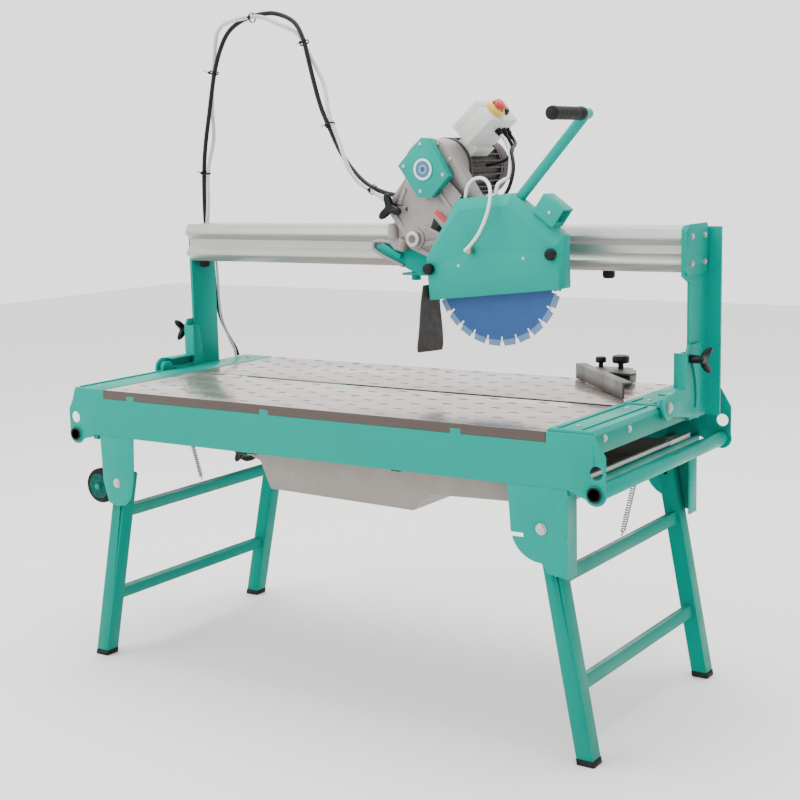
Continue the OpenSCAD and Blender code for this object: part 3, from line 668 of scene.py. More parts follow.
WATER = [(0.277, -0.0486, 1.090), (0.278, -0.062, 1.091), (0.292, -0.072, 1.098), (0.318, -0.072, 1.126),
         (0.334, -0.062, 1.164), (0.338, -0.046, 1.206), (0.326, -0.026, 1.240), (0.298, -0.008, 1.258),
         (0.266, 0.002, 1.256), (0.246, 0.006, 1.238), (0.240, 0.006, 1.212)]
RISER = [(0.2628, 0.140, 1.3623), (0.274, 0.139, 1.349), (0.298, 0.122, 1.320), (0.316, 0.092, 1.290),
         (0.326, 0.066, 1.260), (0.326, 0.040, 1.252), (0.324, 0.016, 1.242), (0.324, 0.008, 1.2195)]
MOTOR_LEAD = [(0.2628, 0.162, 1.3623), (0.274, 0.162, 1.349), (0.284, 0.161, 1.326), (0.272, 0.159, 1.303),
              (0.244, 0.157, 1.292), (0.212, 0.156, 1.287)]
INTERLOCK = [(0.2628, 0.184, 1.3623), (0.275, 0.183, 1.348), (0.292, 0.160, 1.336), (0.312, 0.106, 1.322),
             (0.332, 0.080, 1.286), (0.336, 0.064, 1.256), (0.330, 0.054, 1.228), (0.318, 0.044, 1.208),
             (0.308, 0.030, 1.198), (0.306, 0.020, 1.196)]
LOOP_TOP = 1.7078
TIE_SPANS = 7
LOOP_ENDS = dict(start=(-0.740, 0.15, 1.1), end=(0.0, 0.15, 1.1))
POST_ENDS = dict(start=(-0.76, 0.28, 0.745), end=(-0.76, 0.28, 1.05))


def add_cord(name, path, radius, material, body=None, blend=None, replaces=(), lay="loose"):
    """One cable or hose: its tube, its bodies and its declared length."""
    piece = Shape().tube(path, radius, 14).finish(name, material, body, replaces, smooth=60)
    if blend:
        bodies, ends = blend
        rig.blend(piece, *bodies, **ends)
    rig.cord(piece, exit=tuple(path[0]), length=round(path_length(path), 3), diameter=2 * radius,
            far_end="object", stiffness="medium", lay=lay, path=[tuple(p) for p in path])


def add_tie(name, path, at, radius, tail, blend):
    """A cable tie round the pair of strands, at a share of the path, with its head and cut tail."""
    i = round(at * (len(path) - 1))
    ahead = (path[min(i + 1, len(path) - 1)] - path[i - 1]).normalized()
    side = ahead.cross(Z).normalized()
    other = ahead.cross(side)
    centre = path[i].copy()
    centre.z = min(centre.z, LOOP_TOP - 0.008)
    shape = Shape()
    profile = [(radius, -0.0022), (radius + 0.0012, -0.0022), (radius + 0.0012, 0.0022), (radius, 0.0022)]
    rings = []
    for a in round_angles(24):
        out = math.cos(a) * side + math.sin(a) * other
        rings.append([centre + r * out + h * ahead for r, h in profile])
    shape.loft(rings + [rings[0]], caps=False)
    bmesh.ops.remove_doubles(shape.bm, verts=shape.bm.verts, dist=1e-6)
    base = centre + side * (radius + 0.002)
    shape.block((-0.003, -0.0035, -0.0035), (0.003, 0.0035, 0.0035), 0.001, axes(base, side, other, ahead))
    reach = [base, base + side * tail * 0.5 + ahead * 0.002, base + side * tail + ahead * 0.006]
    shape.tube(smooth_path(reach, 4), 0.0011, 6)
    piece = shape.finish(name, BLACK, None)
    bodies, ends = blend
    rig.blend(piece, *bodies, **ends)


def add_cables():
    """The pair in the loop, the pair behind the left post, and the four leads on the head."""
    loop = smooth_path(LOOP)
    along_loop = (("bridge", "carriage"), LOOP_ENDS)
    black = strand(loop, 0.0062, 2.5, 0.4)
    clear = strand(loop, 0.0066, 2.5, 0.4 + math.pi, 0.013)
    add_cord("power_cable", black, 0.0062, CABLE, None, along_loop, ["cable_loop"], lay="hanging")
    add_cord("supply_hose", clear, 0.0055, CLEAR_HOSE, None, along_loop, lay="hanging")
    for k in range(1, TIE_SPANS):
        add_tie(f"loop_tie_{k}", loop, k / TIE_SPANS, 0.0128, 0.010 + 0.004 * (k % 3), along_loop)
    post = smooth_path(POST_RUN)
    along_post = (("bench", "bridge"), POST_ENDS)
    cable, hose = strand(post, 0.005, 0.4, 0.0), strand(post, 0.005, 0.4, math.pi)
    add_cord("post_cable_run", cable, 0.0042, CABLE, None, along_post, ["post_cable"])
    add_cord("post_hose_run", hose, 0.0038, CLEAR_HOSE, None, along_post)
    add_cord("water_hose", smooth_path(WATER), 0.0042, WHITE_HOSE, "head", None, ["head_cables"])
    add_cord("white_riser", smooth_path(RISER), 0.0045, WHITE_HOSE, "head")
    add_cord("motor_lead", smooth_path(MOTOR_LEAD), 0.0045, CABLE, "head")
    add_cord("interlock_lead", smooth_path(INTERLOCK), 0.0045, CABLE, "head")


add_cables()


# ---- carried-over CAD nodes -------------------------------------------------

def dress_nodes():
    """Gives the CAD nodes their materials, and breaks their sharp edges by a width in metres."""
    looks = (
        (GREEN, 0.0012, "side_panels leg_brackets posts tilt_feet carriage_frame"),
        (GREEN, 0.0006, "carry_tubes tilt_quadrants"),
        (GREEN, 0.0010, "end_decks"),
        (GREEN, 0.0014, "rail_end_plates"),
        # The parts under the table take the darker copy of the green, which is painted shade.
        (GREEN_PAINTED_SHADE, 0.0008, "cross_beams wheel_mounts"),
        (GREEN_PAINTED_SHADE, 0.0016, "left_leg_frame right_leg_frame"),
        (GREEN_GUARD, 0.0024, "hex_cover"),
        (GREEN_GUARD, 0.0010, "guard_shell"),
        (GREEN_GUARD, 0.0018, "guard_cover"),
        (GREEN_GUARD, 0.0008, "handle_tube"),
        (TRAY, 0.0010, "drip_tray tray_walls"),
        (BLACK, 0.0015, "water_pump"),
        (RUBBER, 0.0020, "left_feet right_feet"),
        (RUBBER, 0.0, "drive_belt"),
        (RAIL, 0.0007, "guide_rail"),
        (STEEL, 0.0010, "pivot_shaft"),
        (STEEL, 0.0005, "left_roller right_roller arbor_bearings"),
        (STEEL, 0.0006, "arbor_pulley motor_pulley motor_rotor blade_arbor"),
        (CAST, 0.0030, "drive_housing"),
        (CAST, 0.0018, "motor_flange"),
        (BRASS, 0.0006, "water_fitting"),
        (MOTOR, 0.0, "motor_body"),
        (BOX_GREY, 0.0020, "switch_box"),
        (BLADE, 0.0, "saw_blade"),
        (FENCE, 0.0010, "fence_block"),
        (FENCE, 0.0012, "fence_bar"),
    )
    for material, bevel, nodes in looks:
        for node in nodes.split():
            piece = frame["nodes"][node]
            piece.data.materials.clear()
            piece.data.materials.append(material)
            piece.data.shade_smooth()
            if bevel:
                piece.modifiers.new("weld", "WELD").merge_threshold = 0.00002
                round_off = piece.modifiers.new("bevel", "BEVEL")
                round_off.width = bevel
                round_off.segments = 2
                round_off.limit_method = "ANGLE"
                round_off.angle_limit = math.radians(22)
                round_off.harden_normals = True


dress_nodes()


# ---- bolts, knobs, wheels, springs -----------------------------------------

def dome_bolt(shape, at, out, radius, height):
    """A washer, a hexagon and the domed end of a bolt, built outwards from at."""
    shape.lathe([(0.0, 0.0), (radius, 0.0), (radius, height * 0.18), (0.0, height * 0.18)], at, out, 32)
    hexagon = radius * 0.80
    shape.lathe([(0.0, height * 0.18), (hexagon, height * 0.18), (hexagon, height * 0.62),
                 (hexagon * 0.86, height * 0.74), (0.0, height * 0.74)], at, out, 6)
    shape.lathe([(0.0, height * 0.70), (hexagon * 0.55, height * 0.70), (hexagon * 0.50, height * 0.86),
                 (hexagon * 0.30, height * 0.97), (0.0, height)], at, out, 20)


def add_bolts():
    """The bolt heads of the legs, the bench's ends, its tilt pins and the rail's end plates."""
    legs = Shape()
    for x, z in ((-0.622, 0.490), (0.632, 0.521)):
        for out in (-1, 1):
            dome_bolt(legs, Vector((x, 0.3502 * out, z)), Y * out, 0.013, 0.0068)
    for out in (-1, 1):
        for y in (-0.300, -0.180, 0.290):
            dome_bolt(legs, Vector((0.7572 * out, y, 0.721)), X * out, 0.0085, 0.0058)
        dome_bolt(legs, Vector((0.7726 * out, 0, 0.740)), X * out, 0.013, 0.0074)
    legs.finish("frame_bolt_heads", STEEL, "bench", ["frame_bolts"], "bright_steel")
    ends = Shape()
    right = ((0.122, 1.056), (0.122, 1.118), (0.196, 1.056), (0.196, 1.118))
    left = ((0.154, 1.056), (0.154, 1.114), (0.196, 1.064), (0.196, 1.106))
    for out, places in ((1, right), (-1, left)):
        for y, z in places:
            dome_bolt(ends, Vector((0.7722 * out, y, z)), X * out, 0.008, 0.0066)
    ends.finish("bridge_bolt_heads", STEEL, "bridge", ["bridge_bolts"], "bright_steel")


def lobed(angle, hub, reach, turn):
    """How far a knob with three rounded arms reaches at an angle."""
    slimness = 3.4
    nearest = math.remainder(angle - turn, 2 * math.pi / 3)
    return hub + (reach - hub) * max(0.0, math.cos(nearest * 3 / 2)) ** slimness


def add_lobed_knob(name, node, body, axis, hub, reach, arms_from, turn, sweep):
    """A hub on its screw and three rounded arms that sweep outwards, in the space of the CAD knob."""
    half = half_depth(node, axis)
    pivot = next(Vector(j["pos_m"]) for j in frame["joints"] if j["child"] == body)
    foot = pivot + axis * ((middle_of(node) - pivot).dot(axis) - half)
    turned = axis.to_track_quat("Z", "X").to_matrix()
    stem = [(0, 0), (hub * 0.85, 0), (hub, 0.002), (hub * 0.9, arms_from), (0, arms_from)]
    shape = Shape().lathe(stem, foot, axis, 28)
    top = 2 * half - sweep
    rows = [(arms_from - 0.001, 0.80), (arms_from + 0.001, 0.93), (arms_from + 0.004, 1.0),
            (top - 0.005, 1.0), (top - 0.002, 0.93), (top, 0.80)]
    rings = []
    for height, scale in rows:
        ring = []
        for a in round_angles(72):
            r = lobed(a, hub * 1.15, reach, turn) * scale
            lifted = height + sweep * (r / reach) ** 2
            ring.append(foot + turned @ Vector((r * math.cos(a), r * math.sin(a), lifted)))
        rings.append(ring)
    shape.loft(rings).finish(name, BLACK, body, [node], "black_plastic", 40)


def add_round_knob(name, node, body, axis, stem, radius):
    """A small mushroom knob: a stem, a fluted rim and a domed top."""
    half = half_depth(node, axis)
    foot = middle_of(node) - axis * half
    h = 2 * half
    shape = Shape().lathe([(0, 0), (stem, 0), (stem, h * 0.45), (0, h * 0.45)], foot, axis, 24)
    turned = axis.to_track_quat("Z", "X").to_matrix()
    rings = []
    for height, scale in ((0.42, 0.86), (0.46, 0.97), (0.52, 1.0), (0.86, 1.0), (0.95, 0.93), (1.0, 0.70)):
        ring = []
        for a in round_angles(60):
            r = radius * scale * (1 - 0.05 * (0.5 + 0.5 * math.cos(a * 10)))
            ring.append(foot + turned @ Vector((r * math.cos(a), r * math.sin(a), h * height)))
        rings.append(ring)
    shape.loft(rings).finish(name, BLACK, body, [node], "black_plastic", 40)


def add_knobs():
    """Every knob of the CAD, in its own place and on its own body."""
    for side, axis, arms_from, sweep in (("left", -X, 0.014, 0.010), ("right", X, 0.026, 0.012)):
        add_lobed_knob(f"{side}_tilt_handle", f"{side}_tilt_knob", f"{side}_tilt_clamp", axis, 0.010,
                       0.034, arms_from, 1.40, sweep)
    add_lobed_knob("plunge_handle", "plunge_knob", "plunge_lock", -Y, 0.012, 0.038, 0.012, 2.30, 0.006)
    for side in ("left", "right"):
        add_round_knob(f"{side}_guard_handle", f"{side}_guard_knob", f"{side}_guard_screw", -Y, 0.007,
                       0.014)
    add_round_knob("fence_lock_handle", "fence_lock_knob", "fence_lock", Z, 0.006, 0.014)
    add_round_knob("fence_swivel_handle", "fence_swivel_knob", "fence_swivel", Z, 0.007, 0.022)


def add_wheels():
    """Two transport wheels: a grooved tyre, a moulded hub and six spokes on each face."""
    for name, y in (("front_wheel", -0.302), ("rear_wheel", 0.302)):
        centre = Vector((-0.727, y, 0.464))
        tread = [(0.031, -0.0125), (0.039, -0.0138), (0.044, -0.0110), (0.0468, -0.0060), (0.0462, -0.0042),
                 (0.0468, -0.0024), (0.0470, 0.0), (0.0468, 0.0024), (0.0462, 0.0042), (0.0468, 0.0060),
                 (0.044, 0.0110), (0.039, 0.0138), (0.031, 0.0125)]
        Shape().lathe(tread, centre, Y, 56).finish(f"{name}_tyre", TYRE, name, [name], "tyre_rubber")
        hub = Shape()
        for out in (-1, 1):
            hub.lathe([(0.0100, 0.0122), (0.0325, 0.0122), (0.0330, 0.0139), (0.0310, 0.0140),
                       (0.0295, 0.0130), (0.0150, 0.0128), (0.0140, 0.0139), (0.0100, 0.0139)],
                      centre, Y * out, 48)
        hub.finish(f"{name}_hub", HUB, name)
        spokes = Shape()
        for out in (-1, 1):
            for a in round_angles(6):
                heading = Vector((math.cos(a), 0, math.sin(a)))
                at = centre + heading * 0.022 + Y * out * 0.0130
                side = Vector((-math.sin(a), 0, math.cos(a)))
                spokes.block((-0.0080, -0.002, -0.001), (0.0080, 0.002, 0.0009), 0.0006,
                             axes(at, heading, side, heading.cross(side)))
        spokes.finish(f"{name}_spokes", HUB, name)


def add_spring(name, node, body, top, foot):
    """A drawn leg spring: hooks at both ends and a close coil between, stretched by the fold."""
    top, foot = Vector(top), Vector(foot)
    run = foot - top
    length = run.length
    ahead = run.normalized()
    side = Y.copy()
    other = ahead.cross(side)
    turns, steps, coil, wire = 26, 14, 0.0054, 0.0015
    path = [top, top + ahead * 0.008]
    for k in range(turns * steps + 1):
        a = 2 * math.pi * k / steps
        share = 0.07 + 0.87 * k / (turns * steps)
        path.append(top + ahead * length * share + coil * (math.cos(a) * side + math.sin(a) * other))
    path += [foot - ahead * 0.007, foot]
    piece = Shape().tube(path, wire, 6).finish(name, SPRING, None, [node], "bright_steel", 60)
    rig.blend(piece, "bench", body, start=tuple(top + ahead * 0.01), end=tuple(foot - ahead * 0.01))


def add_springs():
    """The spring of each folding leg frame, from the bench down to the legs."""
    for side, top_x, foot_x in (("left", -0.693, -0.6415), ("right", 0.696, 0.6546)):
        add_spring(f"{side}_leg_coil", f"{side}_leg_spring", f"{side}_legs", (top_x, 0, 0.5995),
                   (foot_x, 0, 0.4275))


# ---- table -----------------------------------------------------------------

TABLE_X0, TABLE_X1, TABLE_HALF = -0.655, 0.643, 0.3485
SLOT_END, SLOT_FRONT, SLOT_REAR = -0.600, -0.008, 0.016
TABLE_TOP, SHEET = 0.7342, 0.0030


def add_table():
    """The folded sheet with its blade slot, rows of pressed dimples and tabbed front edge."""
    outline = [(TABLE_X0, -TABLE_HALF), (TABLE_X1, -TABLE_HALF), (TABLE_X1, SLOT_FRONT),
               (SLOT_END, SLOT_FRONT), (SLOT_END, SLOT_REAR), (TABLE_X1, SLOT_REAR),
               (TABLE_X1, TABLE_HALF), (TABLE_X0, TABLE_HALF)]
    sheet = Shape().plate(outline, axes(Z * (TABLE_TOP - SHEET), X, Y, Z), SHEET, 0.0008)
    sheet.finish("table_sheet", TABLE, "bench", ["table_top"], "table_steel")
    edges = Shape()
    for y in (-1, 1):
        near, far = sorted((y * 0.3494, y * 0.3470))
        edges.block((TABLE_X0, near, 0.7113), (TABLE_X1, far, 0.7340), 0.0008)
    edges.block((-0.657, -0.349, 0.722), (-0.6545, 0.349, 0.7340), 0.0006)
    # The folded edge takes the darker copy of the table steel, which is painted shade.
    edges.finish("table_fold", TABLE_FOLD_PAINTED_SHADE, "bench", (), "table_steel")
    dimples = Shape()
    long_half, short_half = 0.0155, 0.0050
    for column in range(19):
        x = -0.603 + 0.067 * column
        for row in range(10):
            y = -0.322 + 0.073 * row + (0.0365 if column % 2 else 0.0)
            if -0.030 < y < 0.038 or y > 0.335:
                continue
            rings = []
            for z, share in ((0.73415, 1.0), (0.73455, 0.90), (0.73485, 0.66), (0.73495, 0.30)):
                across, along = long_half * share, short_half * share
                rings.append([Vector((x + across * math.cos(a), y + along * math.sin(a), z))
                              for a in round_angles(20)])
            dimples.loft(rings)
    # The dimples take the darker copy of the table steel, which is painted shade.
    dimples.finish("table_dimples", DIMPLE_PAINTED_SHADE, "bench", (), "table_steel", 70)
    tabs = Shape()
    for x in (-0.560, -0.120, 0.420):
        tabs.block((x - 0.013, -0.3499, 0.7080), (x + 0.013, -0.3488, 0.7225), 0.0005)
    tabs.finish("fold_tabs", GREEN, "bench", (), "green_paint")


# ---- saw head --------------------------------------------------------------

BOX_X = Vector((0.7604, 0, 0.6494))
BOX_Z = Vector((-0.6494, 0, 0.7604))
BOX_PLACE = leaning((0.226, 0, 1.390), BOX_X.x, BOX_X.z)


def add_button_piece(name, material, body, profile, x, y, sides, *more):
    """A round piece on the switch box's sloping control face."""
    Shape().lathe(profile, BOX_PLACE @ Vector((x, y, 0)), BOX_X, sides).finish(name, material, body, *more)


def add_switch_box_details():
    """The lid, its screws, the emergency stop on its collar, the start button and the glands."""
    lid = Shape().block((-0.0462, 0.0612, 0.0120), (0.0462, 0.1958, 0.0300), 0.0028, BOX_PLACE)
    lid.finish("switch_lid", BOX_GREY, "head")
    screws = Shape()
    head = [(0, 0), (0.0042, 0), (0.0042, 0.0006), (0.0030, 0.0012), (0, 0.0012)]
    for x in (-0.037, 0.037):
        for y in (0.070, 0.187):
            screws.lathe(head, BOX_PLACE @ Vector((x, y, 0.0298)), BOX_Z, 16)
    screws.finish("lid_screws", STEEL, "head")
    collar = [(0.0, 0.0), (0.0235, 0.0), (0.0245, 0.0030), (0.0240, 0.0110), (0.0205, 0.0140),
              (0.0175, 0.0140), (0.0172, 0.0076), (0.0, 0.0076)]
    add_button_piece("stop_collar", YELLOW, "head", collar, 0.0452, 0.115, 40)
    mushroom = [(0.0, 0.0054), (0.0085, 0.0054), (0.0085, 0.008), (0.0150, 0.0095), (0.0168, 0.0120),
                (0.0165, 0.0155), (0.0130, 0.0195), (0.0070, 0.0212), (0.0, 0.0217)]
    add_button_piece("stop_mushroom", RED, "estop", mushroom, 0.0533, 0.115, 40, ["estop_button"],
                     "button_red")
    boot = [(0.0, 0.0), (0.0135, 0.0), (0.0140, 0.0030), (0.0120, 0.0085), (0.0090, 0.0100), (0.0, 0.0100)]
    add_button_piece("start_boot", BLACK, "head", boot, 0.0452, 0.160, 32)
    start = [(0.0, 0.0), (0.0068, 0.0), (0.0068, 0.0034), (0.0055, 0.0046), (0.0, 0.0050)]
    add_button_piece("start_cap", GREEN_BUTTON, "start", start, 0.0532, 0.160, 24, ["start_button"],
                     "button_green")
    glands = Shape()
    nut = [(0, 0), (0.0092, 0), (0.0092, 0.005), (0, 0.005)]
    cap = [(0, 0.005), (0.0080, 0.005), (0.0072, 0.0145), (0.0054, 0.0165), (0, 0.0165)]
    for y in (0.140, 0.164, 0.184):
        at = BOX_PLACE @ Vector((0.010, y, -0.031))
        glands.lathe(nut, at, -BOX_Z, 6).lathe(cap, at, -BOX_Z, 24)
    glands.finish("cable_glands", BLACK, "head")


def add_hex_details():
    """The ringed disc and the screws of the hexagonal cover."""
    disc = [(0, 0), (0.0262, 0), (0.0262, 0.0005), (0, 0.0006)]
    Shape().lathe(disc, by_motor_axis(-0.00805), -Y, 64).finish("cover_badge", BADGE, "head")
    screws = Shape()
    head = [(0, 0), (0.0050, 0), (0.0050, 0.0010), (0.0036, 0.0022), (0, 0.0024)]
    for x, z in ((-0.008, 0.061), (0.055, -0.014), (-0.058, 0.008), (-0.010, -0.053)):
        screws.lathe(head, by_motor_axis(-0.0049, x, z), -Y, 18)
    screws.finish("cover_screws", STEEL, "head")


def add_guard_details():
    """Rivets and rubber edging on the guard, the red depth pointer, and bolts on the socket."""
    studs = Shape()
    head = [(0, 0), (0.0042, 0), (0.0040, 0.0008), (0.0024, 0.0016), (0, 0.0018)]
    for x, z in ((0.239, 1.051), (0.417, 1.072)):
        studs.lathe(head, Vector((x, -0.0299, z)), -Y, 18)
    studs.finish("guard_rivets", STEEL, "head")
    rings = []
    for at, out in (((0.229, 0.016, 1.2135), (-0.84, 0, 0.54)),
                    ((0.1375, 0.016, 1.0715), (-0.97, 0, 0.22)),
                    ((0.1495, 0.016, 0.966), (-0.99, 0, -0.11))):
        rear, front = Vector(at) + Y * 0.0035, Vector(at) - Y * 0.0085
        lip = Vector(out) * 0.0035
        rings.append([rear, rear + lip, front + lip, front])
    Shape().loft(rings).finish("guard_edging", RUBBER, "head")
    place = leaning((0.166, 0.0125, 1.166), 0.80, -0.60)
    pointer = Shape().block((-0.021, -0.0015, -0.006), (0.021, 0.0015, 0.006), 0.0012, place)
    pointer.finish("depth_pointer", RED, "head")
    socket = Shape()
    place = leaning((0.480, 0.006, 1.184), 0.809, -0.588)
    for y, out in ((-0.0245, -Y), (0.0265, Y)):
        at = place @ Vector((0.004, y, -0.004))
        socket.lathe([(0, 0), (0.0050, 0), (0.0046, 0.0014), (0, 0.0020)], at, out, 6)
    socket.finish("socket_bolts", STEEL, "head")


def add_flap():
    """The hanging rubber flap, belled and curled a little towards the blade."""
    rings = []
    front_edge = ((-0.036, 1.002), (-0.072, 0.840))
    rear_edge = ((0.036, 1.002), (0.050, 0.834))
    rows, columns, face_x, thick = 14, 10, 0.1394, 0.0026
    for k in range(rows + 1):
        t = k / rows
        front = Vector(front_edge[0]).lerp(Vector(front_edge[1]), t)
        rear = Vector(rear_edge[0]).lerp(Vector(rear_edge[1]), t)
        tuck = 0.006 * max(0.0, (t - 0.88) / 0.12) ** 2
        row = []
        for m in range(columns + 1):
            share = m / columns
            bow = 0.0022 * math.sin(math.pi * share) * (0.2 + 0.8 * t) - 0.0014 * math.sin(2 * math.pi * t)
            row.append(Vector((face_x + bow, front.x + tuck + (rear.x - front.x - 2 * tuck) * share,
                               front.y + (rear.y - front.y) * share)))
        rings.append(row + [p + X * thick for p in reversed(row)])
    Shape().loft(rings).finish("rubber_flap", FLAP, "head", ["splash_flap"], "black_rubber", 50)


def add_grip():
    """The moulded hand grip: a collar, shallow finger rings and a rounded end."""
    profile = [(0.0, 0.0), (0.0128, 0.0), (0.0152, 0.0020), (0.0160, 0.0060), (0.0158, 0.012)]
    for k in range(9):
        at = 0.020 + k * 0.0125
        profile += [(0.0150, at), (0.0144, at + 0.003), (0.0150, at + 0.006)]
    profile += [(0.0158, 0.134), (0.0160, 0.142), (0.0154, 0.148), (0.0130, 0.1515), (0.0, 0.152)]
    grip = Shape().lathe(profile, Vector((0.562, -0.160, 1.400)), Y, 36)
    grip.finish("rubber_grip", RUBBER, "head", ["hand_grip"], "black_rubber", 50)


def add_housing_details():
    """Bolts and ribs cast on the drive housing, the motor's fan grille and its two bands."""
    bolts = Shape()
    bolt_circle = 0.066
    for angle in (20, 65, 115, 165, 205, 250):
        a = math.radians(angle)
        at = by_motor_axis(0.0199, bolt_circle * math.cos(a), bolt_circle * math.sin(a))
        dome_bolt(bolts, at, -Y, 0.0052, 0.0050)
    bolts.finish("housing_bolts", STEEL, "head")
    ribs = Shape()
    wide = 0.005
    for x0, z0, x1, z1 in ((0.160, 1.222, 0.246, 1.118), (0.058, 1.236, 0.040, 1.196),
                           (0.112, 1.142, 0.196, 1.104)):
        along = Vector((x1 - x0, 0, z1 - z0))
        half = along.length / 2
        along.normalize()
        place = leaning(((x0 + x1) / 2, 0.0200, (z0 + z1) / 2), along.x, along.z)
        ribs.block((-half, -0.0036, -wide), (half, 0.002, wide), 0.0018, place)
    ribs.finish("housing_ribs", CAST, "head")
    fan = Shape()
    centre = by_motor_axis(0.2921)
    for r in (0.012, 0.026, 0.040, 0.054):
        fan.lathe([(r, 0), (r + 0.004, 0), (r + 0.004, 0.0012), (r, 0.0012)], centre, Y, 48, hollow=True)
    for a in round_angles(6):
        heading = Vector((math.cos(a), 0, math.sin(a)))
        fan.block((-0.022, -0.0016, 0.0), (0.022, 0.0016, 0.0011), 0.0004,
                  axes(centre + heading * 0.034, heading, Y.cross(heading), Y))
    fan.finish("fan_grille", MOTOR, "head")
    bands = Shape()
    band = [(0.0700, -0.004), (0.0760, -0.004), (0.0764, -0.0030), (0.0764, 0.0030), (0.0760, 0.004),
            (0.0700, 0.004)]
    for y in (0.100, 0.248):
        bands.lathe(band, by_motor_axis(y), Y, 72)
    bands.finish("motor_bands", MOTOR, "head")


def add_carriage_details():
    """The cast pivot block, its clamp lugs, nuts and the small green lever."""
    cast_block = Shape()
    outline = [(-0.010, 1.098), (-0.014, 1.128), (-0.006, 1.146), (0.012, 1.154), (0.028, 1.148),
               (0.036, 1.130), (0.052, 1.118), (0.050, 1.092), (0.030, 1.076), (0.004, 1.082)]
    cast_block.plate(outline, axes(Y * 0.0600, X, Z, -Y), 0.0200, 0.0050)
    cast_block.lathe([(0, 0), (0.0150, 0), (0.0150, 0.030), (0.0120, 0.036), (0, 0.037)],
                     Vector((0.006, 0.040, 1.112)), Z, 28)
    cast_block.lathe([(0, 0), (0.0120, 0), (0.0120, 0.022), (0.0090, 0.026), (0, 0.027)],
                     Vector((0.036, 0.034, 1.088)), Vector((0.35, -0.25, 0.90)).normalized(), 24)
    cast_block.finish("pivot_block", CAST, "carriage")
    rim = [(-0.008, 1.098), (-0.040, 1.1015), (-0.064, 1.1015), (-0.0695, 1.095), (-0.0695, 1.082),
           (-0.052, 1.070), (-0.020, 1.056), (0.020, 1.040)]
    path = smooth_path([(x, 0.0590, z) for x, z in rim], 5)
    Shape().tube(path, 0.0045, 10).finish("plate_rim", CAST, "carriage")
    place = leaning((-0.012, 0.0530, 1.0780), 0.90, -0.436)
    lever = Shape().block((-0.034, -0.0040, -0.0070), (0.034, 0.0040, 0.0070), 0.0030, place)
    lever.finish("clamp_lever", GREEN, "carriage")
    dark = Shape()
    dome_bolt(dark, Vector((0.032, 0.0395, 1.1000)), -Y, 0.0095, 0.0100)
    dome_bolt(dark, Vector((-0.050, 0.0605, 1.0900)), -Y, 0.0070, 0.0060)
    dark.finish("carriage_nuts", CAST_DARK, "carriage")
    ring = [(0.0075, 0), (0.0105, 0), (0.0100, 0.0016), (0.0080, 0.0016)]
    Shape().lathe(ring, Vector((0.086, 0.0022, 1.112)), -Y, 32).finish("pivot_ring", CAST_DARK, "carriage")


def add_bumpers():
    """The rubber stops under the rail."""
    rubber = Shape()
    side = [(0, 0), (0.0110, 0), (0.0140, 0.0025), (0.0150, 0.008), (0.0146, 0.0165), (0.0150, 0.0198),
            (0, 0.0198)]
    for x in (-0.735, 0.545):
        rubber.lathe(side, Vector((x, 0.160, 1.0141)), Z, 32)
    rubber.finish("rubber_bumpers", RUBBER, "bridge", ["rail_bumpers"], "black_rubber", 40)


def add_right_end_details():
    """The catch rod and its plate under the right end, and the drain pipe by the tray."""
    shape = Shape().tube([Vector((0.735, -0.345, 0.642)), Vector((0.735, 0.165, 0.642))], 0.0055, 16)
    shape.block((0.728, 0.078, 0.6365), (0.742, 0.195, 0.6475), 0.0015)
    shape.finish("catch_rod", STEEL, "bench", (), "bright_steel")
    pipe = smooth_path([(-0.268, -0.262, 0.586), (-0.276, -0.272, 0.572), (-0.262, -0.278, 0.592),
                        (-0.224, -0.280, 0.592)], 6)
    Shape().tube(pipe, 0.0060, 12).finish("drain_elbow", BLACK, "bench", (), "black_plastic")


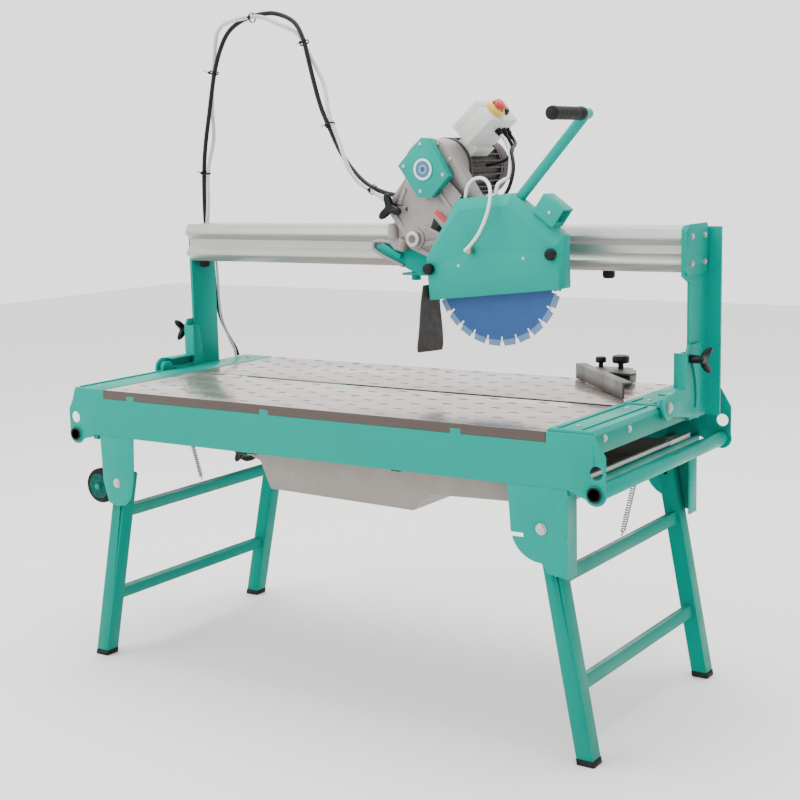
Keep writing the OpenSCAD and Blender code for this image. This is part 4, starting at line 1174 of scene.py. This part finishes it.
def add_deck_details():
    """Pressed ribs and screws on the end decks, and black liners in the carrying tubes."""
    ribs = Shape()
    for x, low, high in ((0.669, -0.336, -0.016), (0.724, -0.336, -0.016), (0.669, 0.026, 0.080),
                         (0.724, 0.026, 0.080)):
        ribs.block((x - 0.0035, low, 0.7415), (x + 0.0035, high, 0.7452), 0.0016)
    for low, high in ((-0.340, -0.030), (0.030, 0.080)):
        ribs.block((-0.7505, low, 0.7345), (-0.7435, high, 0.7382), 0.0016)
    ribs.finish("deck_ribs", GREEN, "bench", (), "green_paint")
    screws = Shape()
    for x, y, z in ((0.697, -0.300, 0.7420), (0.697, -0.060, 0.7420), (0.697, 0.060, 0.7420),
                    (-0.706, -0.310, 0.7350), (-0.706, 0.300, 0.7350)):
        dome_bolt(screws, Vector((x, y, z)), Z, 0.0060, 0.0038)
    screws.finish("deck_screws", STEEL, "bench", (), "bright_steel")
    liners = Shape()
    wall = [(0.0146, -0.040), (0.0168, 0.0001), (0.0172, 0.0018), (0.0150, 0.0026), (0.0132, 0.0018),
            (0.0130, -0.040)]
    for x in (-0.760, 0.760):
        for out in (-1, 1):
            liners.lathe(wall, Vector((x, 0.3541 * out, 0.610)), Y * out, 40, hollow=True)
    liners.finish("tube_liners", BLACK, "bench", (), "black_plastic")


for add in (add_deck_details, add_bolts, add_knobs, add_wheels, add_springs, add_table,
            add_switch_box_details, add_hex_details, add_guard_details, add_flap, add_grip,
            add_housing_details, add_carriage_details, add_bumpers, add_right_end_details):
    add()


# ---- stage -----------------------------------------------------------------

def add_stage():
    """A pale floor, a world that is brighter on the left, and three soft lights."""
    shape = Shape()
    shape.loft([[Vector((-9, -7, 0)), Vector((9, -7, 0))], [Vector((-9, 9, 0)), Vector((9, 9, 0))]],
               closed=False, caps=False)
    floor = shape.finish("floor", Surface("floor", linear("f4f4f2"), 0.9).material, None)
    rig.stage(floor)
    world = bpy.data.worlds.new("studio")
    bpy.context.scene.world = world
    world.use_nodes = True
    nodes, links = world.node_tree.nodes, world.node_tree.links
    background = nodes["Background"]
    background.inputs["Color"].default_value = (1, 1, 1, 1)
    heading = nodes.new("ShaderNodeSeparateXYZ")
    links.new(nodes.new("ShaderNodeTexCoord").outputs["Generated"], heading.inputs[0])
    fade = ramp_node(nodes, -0.15, 0.60, 2.0, 1.1)
    links.new(heading.outputs["X"], fade.inputs["Value"])
    links.new(fade.outputs["Result"], background.inputs["Strength"])
    lights = (("key", (-2.2, -3.4, 3.6), 2.6, 70), ("fill", (3.6, -1.2, 2.6), 2.4, 8),
              ("top", (0.0, 0.6, 4.2), 3.4, 170))
    target = Vector((0, 0, 0.8))
    for name, place, size, power in lights:
        data = bpy.data.lights.new(name, "AREA")
        data.size, data.energy = size, power
        light = bpy.data.objects.new(name, data)
        light.location = place
        light.rotation_mode = "QUATERNION"
        light.rotation_quaternion = (Vector(place) - target).to_track_quat("Z", "Y")
        bpy.context.scene.collection.objects.link(light)


add_stage()

seen_low, seen_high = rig.bounds()
with open("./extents.json", "w") as f:
    json.dump({"cad": [list(cad_low), list(cad_high)], "visual": [list(seen_low), list(seen_high)]}, f)
